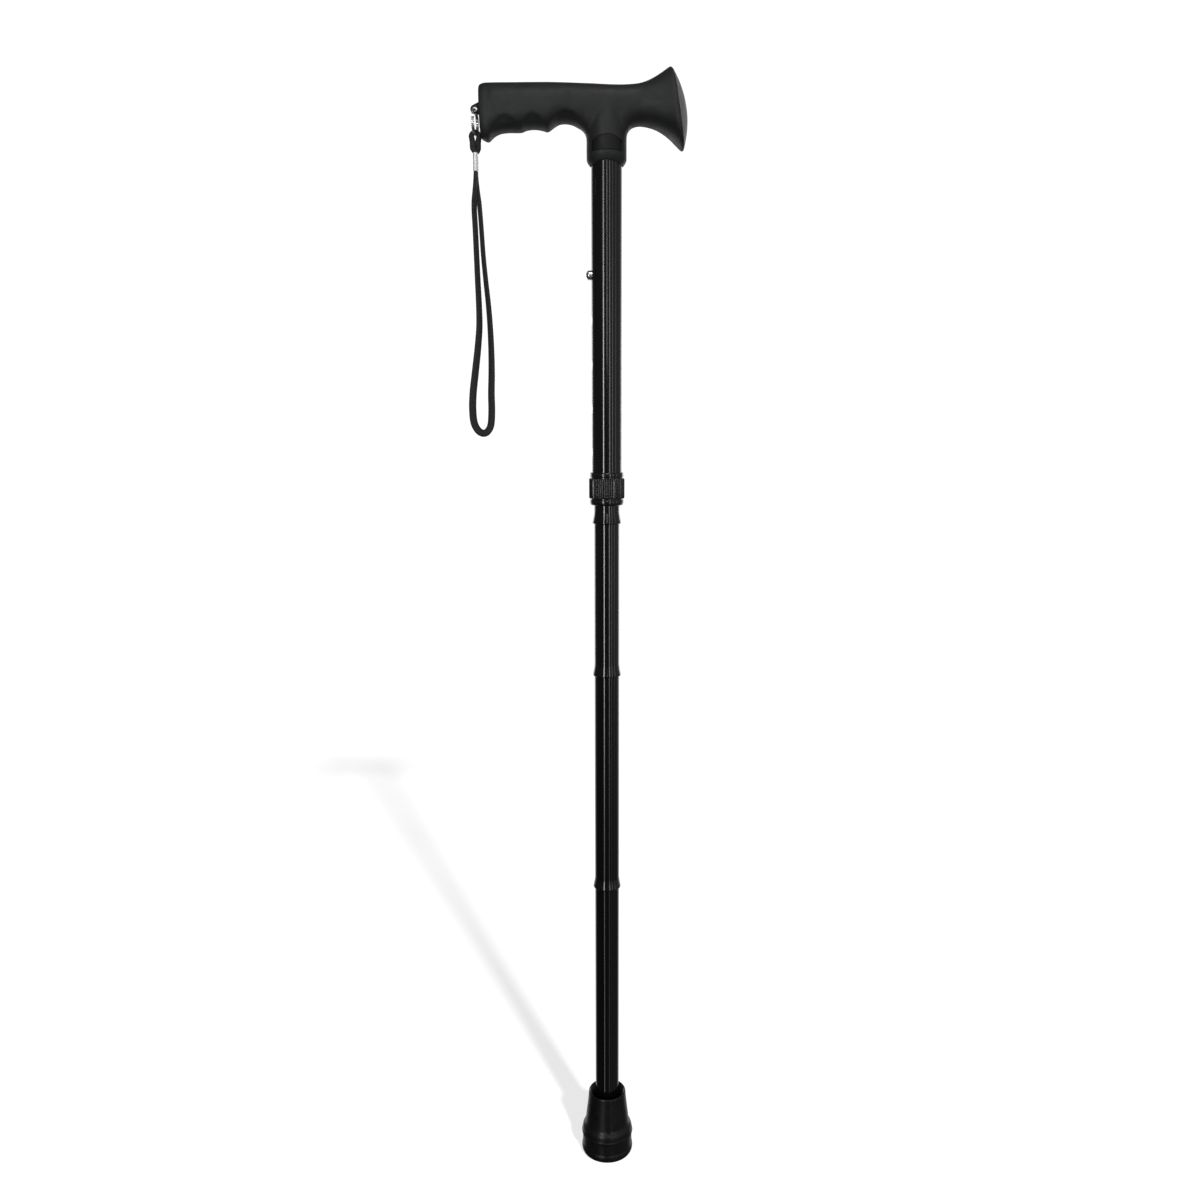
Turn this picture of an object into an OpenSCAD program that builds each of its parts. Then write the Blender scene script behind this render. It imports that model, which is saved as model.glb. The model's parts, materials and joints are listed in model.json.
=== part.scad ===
// Folding walking cane with a moulded T handle, a height lock, three shock-corded joints and a wrist strap.
// Origin: centre of the foot's base on the floor. +Z runs up the shaft.
// +X runs along the handle to its flared end.

/* [Sections] */
// Floor to the mouth of the third joint
foot_section_l = 233; // [200:1:280]
// Third joint to second joint
third_section_l = 174; // [150:1:220]
// Second joint to first joint
second_section_l = 118; // [100:1:160]
// First joint to the lower lip of the lock nut
lock_gap = 14; // [8:0.5:24]
// Upper tube left bare between the lock and the handle's neck
bare_tube_l = 220; // [205:1:260]

/* [Tubes] */
// Outer diameter of the lower tubes
lower_d = 19; // [17:0.1:21]
// Wall of the lower tubes
lower_wall = 1.2; // [1:0.1:1.6]
// Wall of the upper tube
upper_wall = 1.3; // [1:0.1:1.8]
// Radial play of the lower tube in the upper tube
slide_gap = 0.3; // [0.2:0.05:0.4]
// Outer diameter that a bell mouth adds to its tube
bell_flare = 2.6; // [2:0.1:3.4]
// Length of a bell mouth
bell_l = 9; // [7:0.5:14]

/* [Joints] */
// Depth that a lower tube seats in the bell above it
seat_h = 3; // [2:0.5:4]
// Radial play of a tube's end in the bell
seat_gap = 0.2; // [0.15:0.05:0.3]
// Length of a spigot's nose above the bell's mouth
nose_l = 20; // [14:1:22]
// Length of a spigot inside its own tube
spigot_grip_l = 30; // [20:1:45]
// Radial play of a spigot's nose in the bore above it
nose_gap = 0.2; // [0.15:0.05:0.4]
// Diameter of the elastic cord
cord_d = 5; // [4:0.1:6]

/* [Height lock] */
// Holes in the upper tube for the snap button
hole_n = 5; // [3:1:5]
// Pitch of those holes
hole_pitch = 32; // [24:1:34]
// Lock to the lowest hole
low_hole_h = 15; // [10:1:20]
// Diameter of the snap button
button_d = 7; // [5:0.1:8]
// Height of the button above the upper tube
button_proud = 4.2; // [2:0.1:5]
// Height of the knurled part of the lock nut
nut_h = 15.4; // [12:0.1:20]
// Height of the lip under the knurled part
nut_lip_h = 5; // [4:0.1:7]
// Height of the ring over the nut
lock_ring_h = 4; // [3:0.1:6]
// Wall of the nut outside its thread
nut_wall = 1.2; // [1:0.1:2]
// Knurls round the nut
knurl_n = 52; // [32:1:60]

/* [Handle] */
// Overall length of the handle, end pad included
handle_l = 148.4; // [140:0.2:160]
// Height of the grip between its top and its finger rests
grip_h = 33; // [30:0.5:38]
// Thickness of the grip, front to back
grip_w = 30; // [28:0.5:34]
// Bottom of the neck to the top of the grip
handle_h = 54.5; // [52:0.5:64]
// Bulge of the end pad
pad_bulge = 5.6; // [3:0.1:8]
// Soft skin over the hard core in the neck
skin_t = 1.2; // [1:0.1:2]
// Wall of the core's socket
core_wall = 2; // [1.5:0.1:3]
// Depth of the upper tube in the handle
tube_in_l = 32; // [26:1:36]

/* [Foot] */
// Height of the rubber foot
foot_h = 52.5; // [46:0.5:60]
// Wall of the foot at its top
foot_wall = 5.7; // [4:0.1:7]
// Rubber under the tube's end
foot_sole_t = 9; // [7:0.5:12]
// Width that the base adds to the foot's top, each side
foot_spread = 5.8; // [4:0.1:8]

/* [Strap] */
// Mean radius of the split ring
ring_r = 8.7; // [8:0.1:10]
// Wire of the split ring
ring_wire_d = 1.2; // [1:0.1:1.4]
// Thickness of the lug
lug_t = 3.5; // [3:0.1:5]
// Handle end to the lug's hole
lug_reach = 3.4; // [3:0.1:5]
// Length of the metal crimp
crimp_l = 13; // [10:0.5:18]

/* [Hidden] */
$fn = 64;
// Overrun of every cut
cut = 1;
// Gap of pressed and glued pieces
fit = 0.05;
// Gap of a turned or sliding fit
run_gap = 0.15;

// Heights of the joints and of the lock
joint_3_z = foot_section_l;
joint_2_z = joint_3_z + third_section_l;
joint_1_z = joint_2_z + second_section_l;
nut_z = joint_1_z + lock_gap;
knurl_z = nut_z + nut_lip_h;
lock_ring_z = knurl_z + nut_h;
lock_top_z = lock_ring_z + lock_ring_h;
neck_z = lock_top_z + bare_tube_l;
top_z = neck_z + handle_h;

// Tube radii
lower_r = lower_d / 2;
bore_r = lower_r - lower_wall;
upper_bore_r = lower_r + slide_gap;
upper_r = upper_bore_r + upper_wall;
bell_r = lower_r + bell_flare / 2;
bell_lip_r = lower_wall / 2;
cord_r = cord_d / 2;
// Play of the elastic cord in what it passes through
cord_gap = 0.6;

// Height lock
button_r = button_d / 2;
button_gap = run_gap;
button_z = lock_top_z + low_hole_h + (hole_n - 1) * hole_pitch;
// Inner tube above the button
inner_above_l = 36;
inner_top_z = button_z + inner_above_l;
bush_wall = 0.85;
bush_r = upper_r + fit + bush_wall;
nut_bore_r = bush_r + run_gap;
nut_r = nut_bore_r + nut_wall;
knurl_depth = 0.35;
knurl_r = 0.8;
nut_lip_r = nut_r - nut_wall * 0.6;
lock_ring_r = nut_lip_r - run_gap;
// Upper tube's end above the bottom of the knurled part
tube_end_h = nut_h * 0.4;
upper_end_z = knurl_z + tube_end_h;
collet_slits = 6;
collet_slit_w = 0.8;
collet_h = tube_end_h + nut_lip_h * 0.5;
guide_flange_h = 3;
guide_plug_l = 10;
guide_wall = 1.6;
spring_w = 6;
spring_t = 0.7;
spring_leg_l = 9;
spring_h = 30;
spring_half = sqrt(pow(bore_r, 2) - pow(spring_w / 2, 2)) - run_gap;

// Elastic cord
anchor_t = 6;
upper_anchor_h = 112;
upper_anchor_z = joint_1_z + upper_anchor_h;
lower_anchor_z = foot_sole_t + anchor_t * 2;
knot_r = cord_d * 0.85;
// Half the length of cord that bends at a joint
bend_half_l = 34;

// Foot
washer_t = 1.5;
foot_tube_z = foot_sole_t + washer_t;
foot_top_r = lower_r + foot_wall;
foot_base_r = foot_top_r + foot_spread;
// Outline of the foot from its sole up: share of the spread beyond the top's radius, share of the height
foot_outline_shares = [
    [0.72, 0], [0.9, 0.015], [1, 0.05], [1, 0.085], [0.95, 0.115], [0.9, 0.13], [0.88, 0.2], [0.88, 0.3],
    [0.9, 0.315], [0.98, 0.325], [1, 0.345], [0.99, 0.375], [0.9, 0.41], [0.68, 0.44], [0.5, 0.458],
    [0.42, 0.475], [0.25, 0.68], [0.06, 0.88], [0, 0.955], [-0.05, 0.985], [-0.14, 1]
];
// Rings cut in the sole: inner and outer share of the base's radius
tread_shares = [[0.36, 0.44], [0.62, 0.7]];
tread_h = 1.5;

// Handle
shaft_share = 0.61;
handle_left = handle_l * shaft_share;
neck_r = upper_r + fit + core_wall + skin_t;
socket_r = neck_r - skin_t;
// Soft lip under the core
neck_lip_h = 4;
socket_z = neck_z + neck_lip_h;
socket_top_z = neck_z + tube_in_l + 3 * core_wall;
arm_r = grip_h * 0.2;
arm_z = top_z - grip_h * 0.5;
arm_ends_share = [0.1, 0.86];
pin_r = 1.5;
pin_l = 2 * sqrt(pow(socket_r, 2) - pow(pin_r, 2)) - fit;
pin_z = neck_z + tube_in_l * 0.7;
// Sections of the grip: x of the top and of the bottom as shares of the handle's length from its left end,
// rise of the top over the handle's top line and drop of the bottom as shares of the grip's height,
// thickness as a share of the grip's
grip_shares = [
    [0.000, 0.010, -0.170, 0.845, 0.66],
    [0.004, 0.011, -0.085, 0.995, 0.79],
    [0.012, 0.016, -0.030, 1.105, 0.86],
    [0.028, 0.028, -0.010, 1.190, 0.90],
    [0.043, 0.043, -0.004, 1.195, 0.92],
    [0.065, 0.065, -0.004, 1.120, 0.95],
    [0.095, 0.095, -0.004, 1.045, 0.96],
    [0.130, 0.130, -0.004, 1.020, 0.97],
    [0.180, 0.180, -0.004, 1.010, 0.98],
    [0.222, 0.222, -0.004, 0.975, 0.99],
    [0.266, 0.266, -0.004, 0.955, 1.00],
    [0.302, 0.302, -0.004, 0.975, 1.00],
    [0.328, 0.328, -0.004, 0.990, 1.00],
    [0.352, 0.352, -0.008, 0.935, 1.00],
    [0.380, 0.380, -0.012, 0.865, 0.99],
    [0.412, 0.412, -0.016, 0.845, 0.98],
    [0.446, 0.446, -0.022, 0.865, 0.97],
    [0.482, 0.482, -0.028, 0.925, 0.96],
    [0.540, 0.540, -0.038, 0.965, 0.95],
    [0.610, 0.610, -0.055, 0.975, 0.94],
    [0.680, 0.680, -0.062, 0.950, 0.95],
    [0.735, 0.735, -0.052, 0.900, 0.98],
    [0.772, 0.776, -0.030, 0.878, 1.02],
    [0.806, 0.826, 0.018, 0.915, 1.09],
    [0.842, 0.870, 0.097, 0.995, 1.18],
    [0.872, 0.912, 0.182, 1.125, 1.26],
    [0.898, 0.946, 0.262, 1.272, 1.35],
    [0.914, 0.972, 0.305, 1.388, 1.40],
    [0.921, 0.984, 0.308, 1.415, 1.40]
];
// Squareness of a section: 2 is an ellipse
grip_power = 2.35;
grip_sides = 28;
// Sections of the neck from its bottom up: share of the height to the grip's finger rests,
// half length and half thickness as shares of the neck's radius
neck_rise = handle_h - grip_h;
neck_shares = [
    [0.00, 0.84, 0.84], [0.04, 0.89, 0.89], [0.09, 0.95, 0.95], [0.15, 0.985, 0.985], [0.2, 1, 1],
    [0.70, 1, 1], [0.82, 1.02, 1], [0.92, 1.08, 1], [1.02, 1.2, 1], [1.12, 1.4, 1], [1.28, 1.6, 0.99],
    [1.50, 1.7, 0.96], [1.64, 1.7, 0.88]
];
neck_sides = 40;
// End pad: share of the end face that it covers, and its rings from rim to crown
pad_cover_share = 0.95;
pad_rings = 5;

// Label panel on the neck, left bare
badge_w = neck_r * 1.4;
badge_arch_r = badge_w * 0.85;
badge_top_h = neck_rise * 0.785;
badge_foot_h = neck_rise * 0.32;
badge_t = 0.8;
badge_proud = 0.25;

// Lug and ring
lug_hole_r = ring_wire_d * 1.5;
lug_tip_r = lug_hole_r + ring_wire_d;
lug_x = -handle_left - lug_reach;
lug_z = top_z - grip_h * 0.53;
lug_stem_r = lug_t * 0.8;
lug_stem_end_share = 0.18;
// Lug's root above and below its hole
lug_root_up = lug_tip_r * 2;
lug_root_down = lug_tip_r * 1.15;
ring_turn_gap = ring_wire_d * 0.85;
ring_half_t = (ring_wire_d + ring_turn_gap) / 2;
ring_low_z = lug_z - 2 * ring_r;

// Keeper, crimp and strap
keeper_d = 3;
keeper_half = keeper_d / 2 + ring_half_t + run_gap;
keeper_l = 12;
crimp_top_z = ring_low_z - keeper_l;
crimp_z = crimp_top_z - crimp_l;
crimp_w = 3.8;
crimp_deep = 7.6;
strap_w = 5.6;
strap_t = 2.8;
// Share of the strap's full width and height at the crimp
strap_end_share = 0.62;
// Turn of the strap's flat side just under the crimp, and its further turn at the bottom of the loop
strap_turn = 28;
strap_twist = 44;
strap_sides = 8;
// Route of the strap's loop, from the crimp and back to it, from the middle of the crimp's lower end
strap_route = [
    [0, -2, 0], [-0.5, -2, -8], [-1.5, -2, -24], [-1, -2, -40], [-0.5, -2, -58], [0, -2, -76],
    [0.5, -2, -92], [0.5, -2, -108], [-1, -2, -124], [-3, -2.5, -140], [-5, -3, -156],
    [-5.5, -3.5, -168], [-4.5, -3.5, -178], [-1, -2.5, -184], [3.5, -0.5, -185], [7, 1.5, -180],
    [8, 2, -170], [8, 2, -156], [8.5, 2, -140], [8.5, 2, -124], [8, 2, -108], [7, 2, -92],
    [5.5, 2, -76], [4, 2, -58], [3, 2, -40], [2, 2, -24], [0.5, 2, -8], [0, 2, 0]
];

// Shapes used more than once

// Plain tube
module pipe(z0, z1, r_out, r_in) {
    translate([0, 0, z0]) linear_extrude(z1 - z0) difference() {
        circle(r_out);
        circle(r_in);
    }
}

// Bell mouth with its mouth at z
module bell(z) {
    translate([0, 0, z]) rotate_extrude() polygon([
        [lower_r + seat_gap, 0], [bell_r - bell_lip_r, 0], [bell_r - bell_lip_r * 0.3, bell_lip_r * 0.3],
        [bell_r, bell_lip_r], [bell_r - bell_flare * 0.03, bell_l * 0.25], [lower_r, bell_l],
        [bore_r, bell_l], [lower_r + seat_gap, seat_h + seat_gap]
    ]);
}

// Cylinder along X from x0 to x1
module bar_x(x0, x1, r) {
    translate([x0, 0, 0]) rotate([0, 90, 0]) cylinder(h = x1 - x0, r = r);
}

// Cylinder along Y, centred
module bar_y(l, r) {
    rotate([90, 0, 0]) cylinder(h = l, r = r, center = true);
}

// Closed solid through a list of rings with equal numbers of points
module skin(rings) {
    n = len(rings[0]);
    last = len(rings) - 1;
    polyhedron(
        points = [for (ring = rings) each ring],
        faces = concat(
            [[for (i = [0 : n - 1]) i]],
            [[for (i = [n - 1 : -1 : 0]) last * n + i]],
            [for (k = [0 : last - 1]) for (i = [0 : n - 1])
                [k * n + i, (k + 1) * n + i, k * n + (i + 1) % n]],
            [for (k = [0 : last - 1]) for (i = [0 : n - 1])
                [k * n + (i + 1) % n, (k + 1) * n + i, (k + 1) * n + (i + 1) % n]]
        )
    );
}

// Coordinate of a squarish oval of unit size
function squarish(c, power) = sign(c) * pow(abs(c), 2 / power);

// Ring of the grip for one row of shares, scaled about its middle
function grip_ring(row, scale = 1, shift = [0, 0, 0]) =
    let (
        top = [row[0] * handle_l - handle_left, 0, top_z + row[2] * grip_h],
        bottom = [row[1] * handle_l - handle_left, 0, top_z - row[3] * grip_h],
        middle = (top + bottom) / 2,
        half_up = (top - bottom) / 2 * scale,
        half_across = [0, row[4] * grip_w / 2 * scale, 0]
    )
    [for (i = [0 : grip_sides - 1]) let (a = 360 * i / grip_sides)
        middle + shift + half_across * squarish(cos(a), grip_power)
            + half_up * squarish(sin(a), grip_power)];

// Ring of the neck for one row of shares
function neck_ring(row) =
    [for (i = [0 : neck_sides - 1]) let (a = 360 * i / neck_sides)
        [neck_r * row[1] * cos(a), neck_r * row[2] * sin(a), neck_z + neck_rise * row[0]]];

// Smooth run of points through p, with n steps between neighbours
function smooth_run(p, n) =
    let (last = len(p) - 1)
    concat(
        [for (i = [0 : last - 1]) for (k = [0 : n - 1])
            let (
                t = k / n,
                a = p[max(i - 1, 0)],
                b = p[i],
                c = p[i + 1],
                d = p[min(i + 2, last)]
            )
            b + (c - a) * t / 2 + (2 * a - 5 * b + 4 * c - d) * t * t / 2
                + (3 * b - a - 3 * c + d) * t * t * t / 2],
        [p[last]]
    );

// Direction of a run of points at point i, with the ends square to the crimp: out is 1 up and -1 down
function run_way(p, i, out) =
    let (
        last = len(p) - 1,
        way = i == 0 ? [0, 0, out] : i == last ? [0, 0, -out] : p[i + 1] - p[i - 1]
    )
    way / norm(way);

// Ring of an oval section round a place, square to the way, half_a towards Y turned by the angle turn
function oval_ring(place, way, half_a, half_b, turn, sides) =
    let (
        toward_y = [0, 1, 0] - way * way[1],
        u = toward_y / norm(toward_y),
        v = cross(way, u)
    )
    [for (k = [0 : sides - 1]) let (a = 360 * k / sides, h = half_a * cos(a), w = half_b * sin(a))
        place + u * (h * cos(turn) - w * sin(turn)) + v * (h * sin(turn) + w * cos(turn))];

// Handle

// Outer shape of the moulded handle
module handle_shape() {
    skin([for (row = grip_shares) grip_ring(row)]);
    skin([for (row = neck_shares) neck_ring(row)]);
}

// Hard core: a socket round the tube and an arm along the grip
module core_shape() {
    translate([0, 0, socket_z]) cylinder(h = socket_top_z - socket_z, r = socket_r);
    translate([0, 0, arm_z])
        bar_x(arm_ends_share[0] * handle_l - handle_left, arm_ends_share[1] * handle_l - handle_left, arm_r);
}

// Room for the upper tube in the handle
module tube_room() {
    translate([0, 0, neck_z - cut]) cylinder(h = tube_in_l + fit + cut, r = upper_r + fit);
}

// Arched panel on the front of the neck
module badge_shape() {
    intersection() {
        pipe(neck_z, neck_z + neck_rise, neck_r + badge_proud, neck_r + badge_proud - badge_t);
        translate([0, 0, neck_z]) rotate([90, 0, 0]) linear_extrude(neck_r + cut) intersection() {
            translate([-badge_w / 2, badge_foot_h]) square([badge_w, badge_top_h - badge_foot_h]);
            translate([0, badge_top_h - badge_arch_r]) circle(badge_arch_r);
        }
    }
}

// Stem that holds the lug in the core
module lug_stem_shape() {
    translate([0, 0, lug_z])
        bar_x(lug_x + lug_reach * 0.75, lug_stem_end_share * handle_l - handle_left, lug_stem_r);
}

module pin_shape(l) {
    translate([0, 0, pin_z]) bar_y(l, pin_r);
}

module handle_grip() {
    color([0.09, 0.09, 0.095]) difference() {
        handle_shape();
        core_shape();
        tube_room();
        badge_shape();
        lug_stem_shape();
    }
}

module handle_core() {
    color([0.2, 0.2, 0.21]) difference() {
        core_shape();
        tube_room();
        lug_stem_shape();
        pin_shape(2 * socket_r + cut);
    }
}

module end_pad() {
    row = grip_shares[len(grip_shares) - 1];
    up = [(row[0] - row[1]) * handle_l, 0, (row[2] + row[3]) * grip_h];
    out = [up[2], 0, -up[0]] / norm(up);
    color([0.16, 0.16, 0.165]) skin([
        for (k = [0 : pad_rings - 1]) let (a = 84 * k / (pad_rings - 1))
            grip_ring(row, pad_cover_share * cos(a), out * pad_bulge * sin(a))
    ]);
}

module neck_badge() {
    color([0.13, 0.13, 0.13]) badge_shape();
}

module strap_lug() {
    color([0.07, 0.07, 0.07]) difference() {
        union() {
            lug_stem_shape();
            translate([0, lug_t / 2, lug_z]) rotate([90, 0, 0]) linear_extrude(lug_t) {
                translate([lug_x, 0]) circle(lug_tip_r);
                polygon([
                    [lug_x, lug_tip_r], [lug_x, -lug_tip_r], [lug_x + lug_reach, -lug_root_down],
                    [lug_x + lug_reach, lug_root_up]
                ]);
            }
        }
        translate([lug_x, 0, lug_z]) bar_y(lug_t + 2 * cut, lug_hole_r);
    }
}

module handle_pin() {
    color("silver") pin_shape(pin_l);
}

// Upper tube and height lock

module upper_tube() {
    color([0.05, 0.05, 0.055]) difference() {
        pipe(upper_end_z, neck_z + tube_in_l, upper_r, upper_bore_r);
        for (i = [0 : hole_n - 1])
            translate([0, 0, button_z - i * hole_pitch]) bar_x(-upper_r - cut, 0, button_r + button_gap);
        pin_shape(2 * socket_r);
    }
}

module lock_bush() {
    color([0.06, 0.06, 0.06]) {
        pipe(upper_end_z, lock_ring_z + run_gap, bush_r, upper_r + fit);
        translate([0, 0, lock_ring_z + run_gap]) rotate_extrude() polygon([
            [upper_r + fit, 0], [lock_ring_r, 0], [lock_ring_r, lock_ring_h * 0.7],
            [lock_ring_r - run_gap, lock_ring_h - run_gap], [upper_r + fit, lock_ring_h - run_gap]
        ]);
    }
}

module lock_collet() {
    color([0.75, 0.75, 0.72]) difference() {
        translate([0, 0, upper_end_z - collet_h]) rotate_extrude() polygon([
            [lower_r + run_gap, 0], [lower_r + run_gap + upper_wall * 0.55, 0], [upper_r, collet_h * 0.7],
            [upper_r, collet_h], [lower_r + run_gap, collet_h]
        ]);
        for (i = [0 : collet_slits - 1])
            rotate(i * 360 / collet_slits) translate([0, -collet_slit_w / 2, upper_end_z - collet_h - cut])
                cube([upper_r + cut, collet_slit_w, collet_h * 0.8 + cut]);
    }
}

// Round outline of the nut with hollows all round it
module knurled_outline() {
    difference() {
        circle(nut_r);
        for (i = [0 : knurl_n - 1])
            rotate(i * 360 / knurl_n) translate([nut_r + knurl_r - knurl_depth, 0])
                circle(knurl_r, $fn = 24);
    }
}

module lock_nut() {
    mouth_r = lower_r + slide_gap;
    throat_z = upper_end_z - collet_h * 0.3 - knurl_z;
    color([0.06, 0.06, 0.065]) difference() {
        union() {
            translate([0, 0, knurl_z]) linear_extrude(nut_h) knurled_outline();
            translate([0, 0, nut_z]) rotate_extrude() polygon([
                [0, 0], [nut_lip_r - nut_lip_h * 0.3, 0], [nut_lip_r - nut_lip_h * 0.1, nut_lip_h * 0.1],
                [nut_lip_r, nut_lip_h * 0.35], [nut_lip_r, nut_lip_h], [0, nut_lip_h]
            ]);
        }
        translate([0, 0, knurl_z]) rotate_extrude() polygon([
            [0, -nut_lip_h - cut], [mouth_r, -nut_lip_h - cut], [mouth_r, -nut_lip_h * 0.75],
            [mouth_r + upper_wall * 0.55 + run_gap, -nut_lip_h * 0.55], [nut_bore_r, throat_z],
            [nut_bore_r, nut_h + cut], [0, nut_h + cut]
        ]);
    }
}

// Inner tube with its snap button

module inner_tube() {
    color([0.05, 0.05, 0.055]) difference() {
        union() {
            bell(joint_1_z);
            pipe(joint_1_z + bell_l, inner_top_z, lower_r, bore_r);
        }
        translate([0, 0, button_z]) bar_x(-lower_r - cut, 0, button_r + button_gap);
    }
}

module guide_bush() {
    color([0.8, 0.8, 0.78]) {
        pipe(inner_top_z - guide_plug_l, inner_top_z, bore_r - fit, bore_r - fit - guide_wall);
        pipe(inner_top_z, inner_top_z + guide_flange_h, upper_bore_r - run_gap, bore_r - fit - guide_wall);
    }
}

module snap_spring() {
    slope = spring_h / spring_half;
    color([0.7, 0.7, 0.72]) translate([0, spring_w / 2, button_z - inner_above_l * 0.6 + spring_leg_l])
        rotate([90, 0, 0]) linear_extrude(spring_w) polygon([
            [-spring_half, spring_leg_l * 3], [-spring_half, 0], [0, -spring_h * 0.5], [spring_half, 0],
            [spring_half, spring_leg_l * 3], [spring_half - spring_t, spring_leg_l * 3],
            [spring_half - spring_t, 0], [0, spring_t * slope * 0.5 - spring_h * 0.5],
            [-spring_half + spring_t, 0], [-spring_half + spring_t, spring_leg_l * 3]
        ]);
}

module snap_button() {
    tip = upper_r + button_proud;
    dome = button_proud * 0.55;
    color([0.8, 0.8, 0.82]) translate([0, 0, button_z]) rotate([0, -90, 0]) rotate_extrude() polygon(concat(
        [[0, spring_half], [button_r, spring_half]],
        [for (k = [0 : 6]) let (a = 90 * k / 6) [button_r * cos(a), tip - dome + dome * sin(a)]]
    ));
}

module upper_cord_anchor() {
    color([0.75, 0.75, 0.7]) pipe(upper_anchor_z, upper_anchor_z + anchor_t, bore_r - fit, cord_r + fit);
}

// Lower sections

module plain_section_tube(z0, z1) {
    color([0.05, 0.05, 0.055]) pipe(z0, z1 + seat_h, lower_r, bore_r);
}

module belled_section_tube(z0, z1) {
    color([0.05, 0.05, 0.055]) {
        bell(z0);
        pipe(z0 + bell_l, z1 + seat_h, lower_r, bore_r);
    }
}

// Spigot in the top of a section, with a bullet nose that reaches into the bell above
module spigot(z) {
    nose_r = bore_r - nose_gap;
    color([0.62, 0.63, 0.65]) translate([0, 0, z]) rotate_extrude() polygon([
        [cord_r + cord_gap, -spigot_grip_l], [bore_r - fit, -spigot_grip_l], [bore_r - fit, seat_h],
        [nose_r, seat_h], [nose_r, nose_l * 0.42], [nose_r * 0.91, nose_l * 0.6],
        [nose_r * 0.76, nose_l * 0.8], [nose_r * 0.58, nose_l * 0.96], [nose_r * 0.52, nose_l],
        [cord_r + cord_gap, nose_l]
    ]);
}

module cord_piece(z0, z1) {
    color([0.12, 0.12, 0.13]) translate([0, 0, z0]) cylinder(h = z1 - z0, r = cord_r);
}

// Cord with a knot past the anchor at its end
module knotted_cord(z0, z1, knot_z) {
    cord_piece(z0, z1);
    color([0.12, 0.12, 0.13]) translate([0, 0, knot_z]) sphere(knot_r);
}

module lower_cord_anchor() {
    color([0.75, 0.75, 0.7]) pipe(lower_anchor_z, lower_anchor_z + anchor_t, bore_r - fit, cord_r + fit);
}

// Foot

module rubber_foot() {
    color([0.06, 0.06, 0.06]) difference() {
        rotate_extrude() polygon(concat(
            [[0, 0]],
            [for (p = foot_outline_shares) [foot_top_r + foot_spread * p[0], foot_h * p[1]]],
            [[lower_r + fit, foot_h], [lower_r + fit, foot_sole_t], [0, foot_sole_t]]
        ));
        for (p = tread_shares)
            pipe(-cut, tread_h, foot_base_r * p[1], foot_base_r * p[0]);
    }
}

module foot_washer() {
    color("silver") translate([0, 0, foot_sole_t]) cylinder(h = washer_t, r = lower_r);
}

// Wrist strap

module split_ring() {
    color([0.8, 0.8, 0.82]) translate([lug_x, 0, lug_z - ring_r]) rotate([0, 90, 0]) rotate_extrude()
        translate([ring_r, 0]) for (side = [-1, 1])
            translate([0, side * ring_turn_gap / 2]) circle(ring_wire_d / 2, $fn = 32);
}

module strap_keeper() {
    apart = crimp_deep / 4;
    arch_h = keeper_l * 0.98;
    route = smooth_run(concat(
        [[0, -apart, 0], [-keeper_half * 0.62, -apart * 0.75, keeper_l * 0.25]],
        [[-keeper_half * 0.78, -apart * 0.4, keeper_l * 0.6]],
        [for (k = [0 : 4]) let (a = 180 - 45 * k) [keeper_half * cos(a), 0, arch_h + keeper_half * sin(a)]],
        [[keeper_half * 0.78, apart * 0.4, keeper_l * 0.6]],
        [[keeper_half * 0.62, apart * 0.75, keeper_l * 0.25], [0, apart, 0]]
    ), 2);
    color([0.05, 0.05, 0.05]) translate([lug_x, 0, crimp_top_z]) skin([
        for (i = [0 : len(route) - 1])
            oval_ring(route[i], run_way(route, i, 1), keeper_d / 2, keeper_d / 2, 0, strap_sides)
    ]);
}

module strap_crimp() {
    color([0.85, 0.85, 0.86]) translate([lug_x, 0, crimp_z]) linear_extrude(crimp_l) {
        square([crimp_w, crimp_deep - crimp_w], center = true);
        for (side = [-1, 1]) translate([0, side * (crimp_deep - crimp_w) / 2]) circle(crimp_w / 2);
    }
}

module wrist_strap() {
    route = smooth_run(strap_route, 2);
    last = len(route) - 1;
    color([0.05, 0.05, 0.05]) translate([lug_x, 0, crimp_z]) skin([
        for (i = [0 : last])
            let (
                down = sin(180 * i / last),
                near_full = min(1, 6 * down),
                grown = strap_end_share + (1 - strap_end_share) * near_full,
                turn = strap_turn * near_full + strap_twist * pow(down, 4)
            )
            oval_ring(route[i], run_way(route, i, -1), strap_w / 2 * grown, strap_t / 2, turn, strap_sides)
    ]);
}

handle_grip();
handle_core();
end_pad();
neck_badge();
strap_lug();
handle_pin();
upper_tube();
lock_bush();
lock_collet();
lock_nut();
inner_tube();
guide_bush();
snap_spring();
snap_button();
upper_cord_anchor();
knotted_cord(  // cord_in_upper
        joint_1_z + bend_half_l, upper_anchor_z + anchor_t, upper_anchor_z + anchor_t + knot_r * 0.9
    );
cord_piece(joint_1_z - bend_half_l, joint_1_z + bend_half_l);  // cord_at_joint_1
cord_piece(joint_2_z + bend_half_l, joint_1_z - bend_half_l);  // cord_in_second
cord_piece(joint_2_z - bend_half_l, joint_2_z + bend_half_l);  // cord_at_joint_2
cord_piece(joint_3_z + bend_half_l, joint_2_z - bend_half_l);  // cord_in_third
cord_piece(joint_3_z - bend_half_l, joint_3_z + bend_half_l);  // cord_at_joint_3
knotted_cord(lower_anchor_z, joint_3_z - bend_half_l, lower_anchor_z - knot_r * 0.9);  // cord_in_foot_section
belled_section_tube(joint_2_z, joint_1_z);  // second_tube
belled_section_tube(joint_3_z, joint_2_z);  // third_tube
plain_section_tube(foot_tube_z, joint_3_z);  // foot_tube
spigot(joint_1_z);  // spigot_1
spigot(joint_2_z);  // spigot_2
spigot(joint_3_z);  // spigot_3
lower_cord_anchor();
rubber_foot();
foot_washer();
split_ring();
strap_keeper();
strap_crimp();
wrist_strap();
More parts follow.
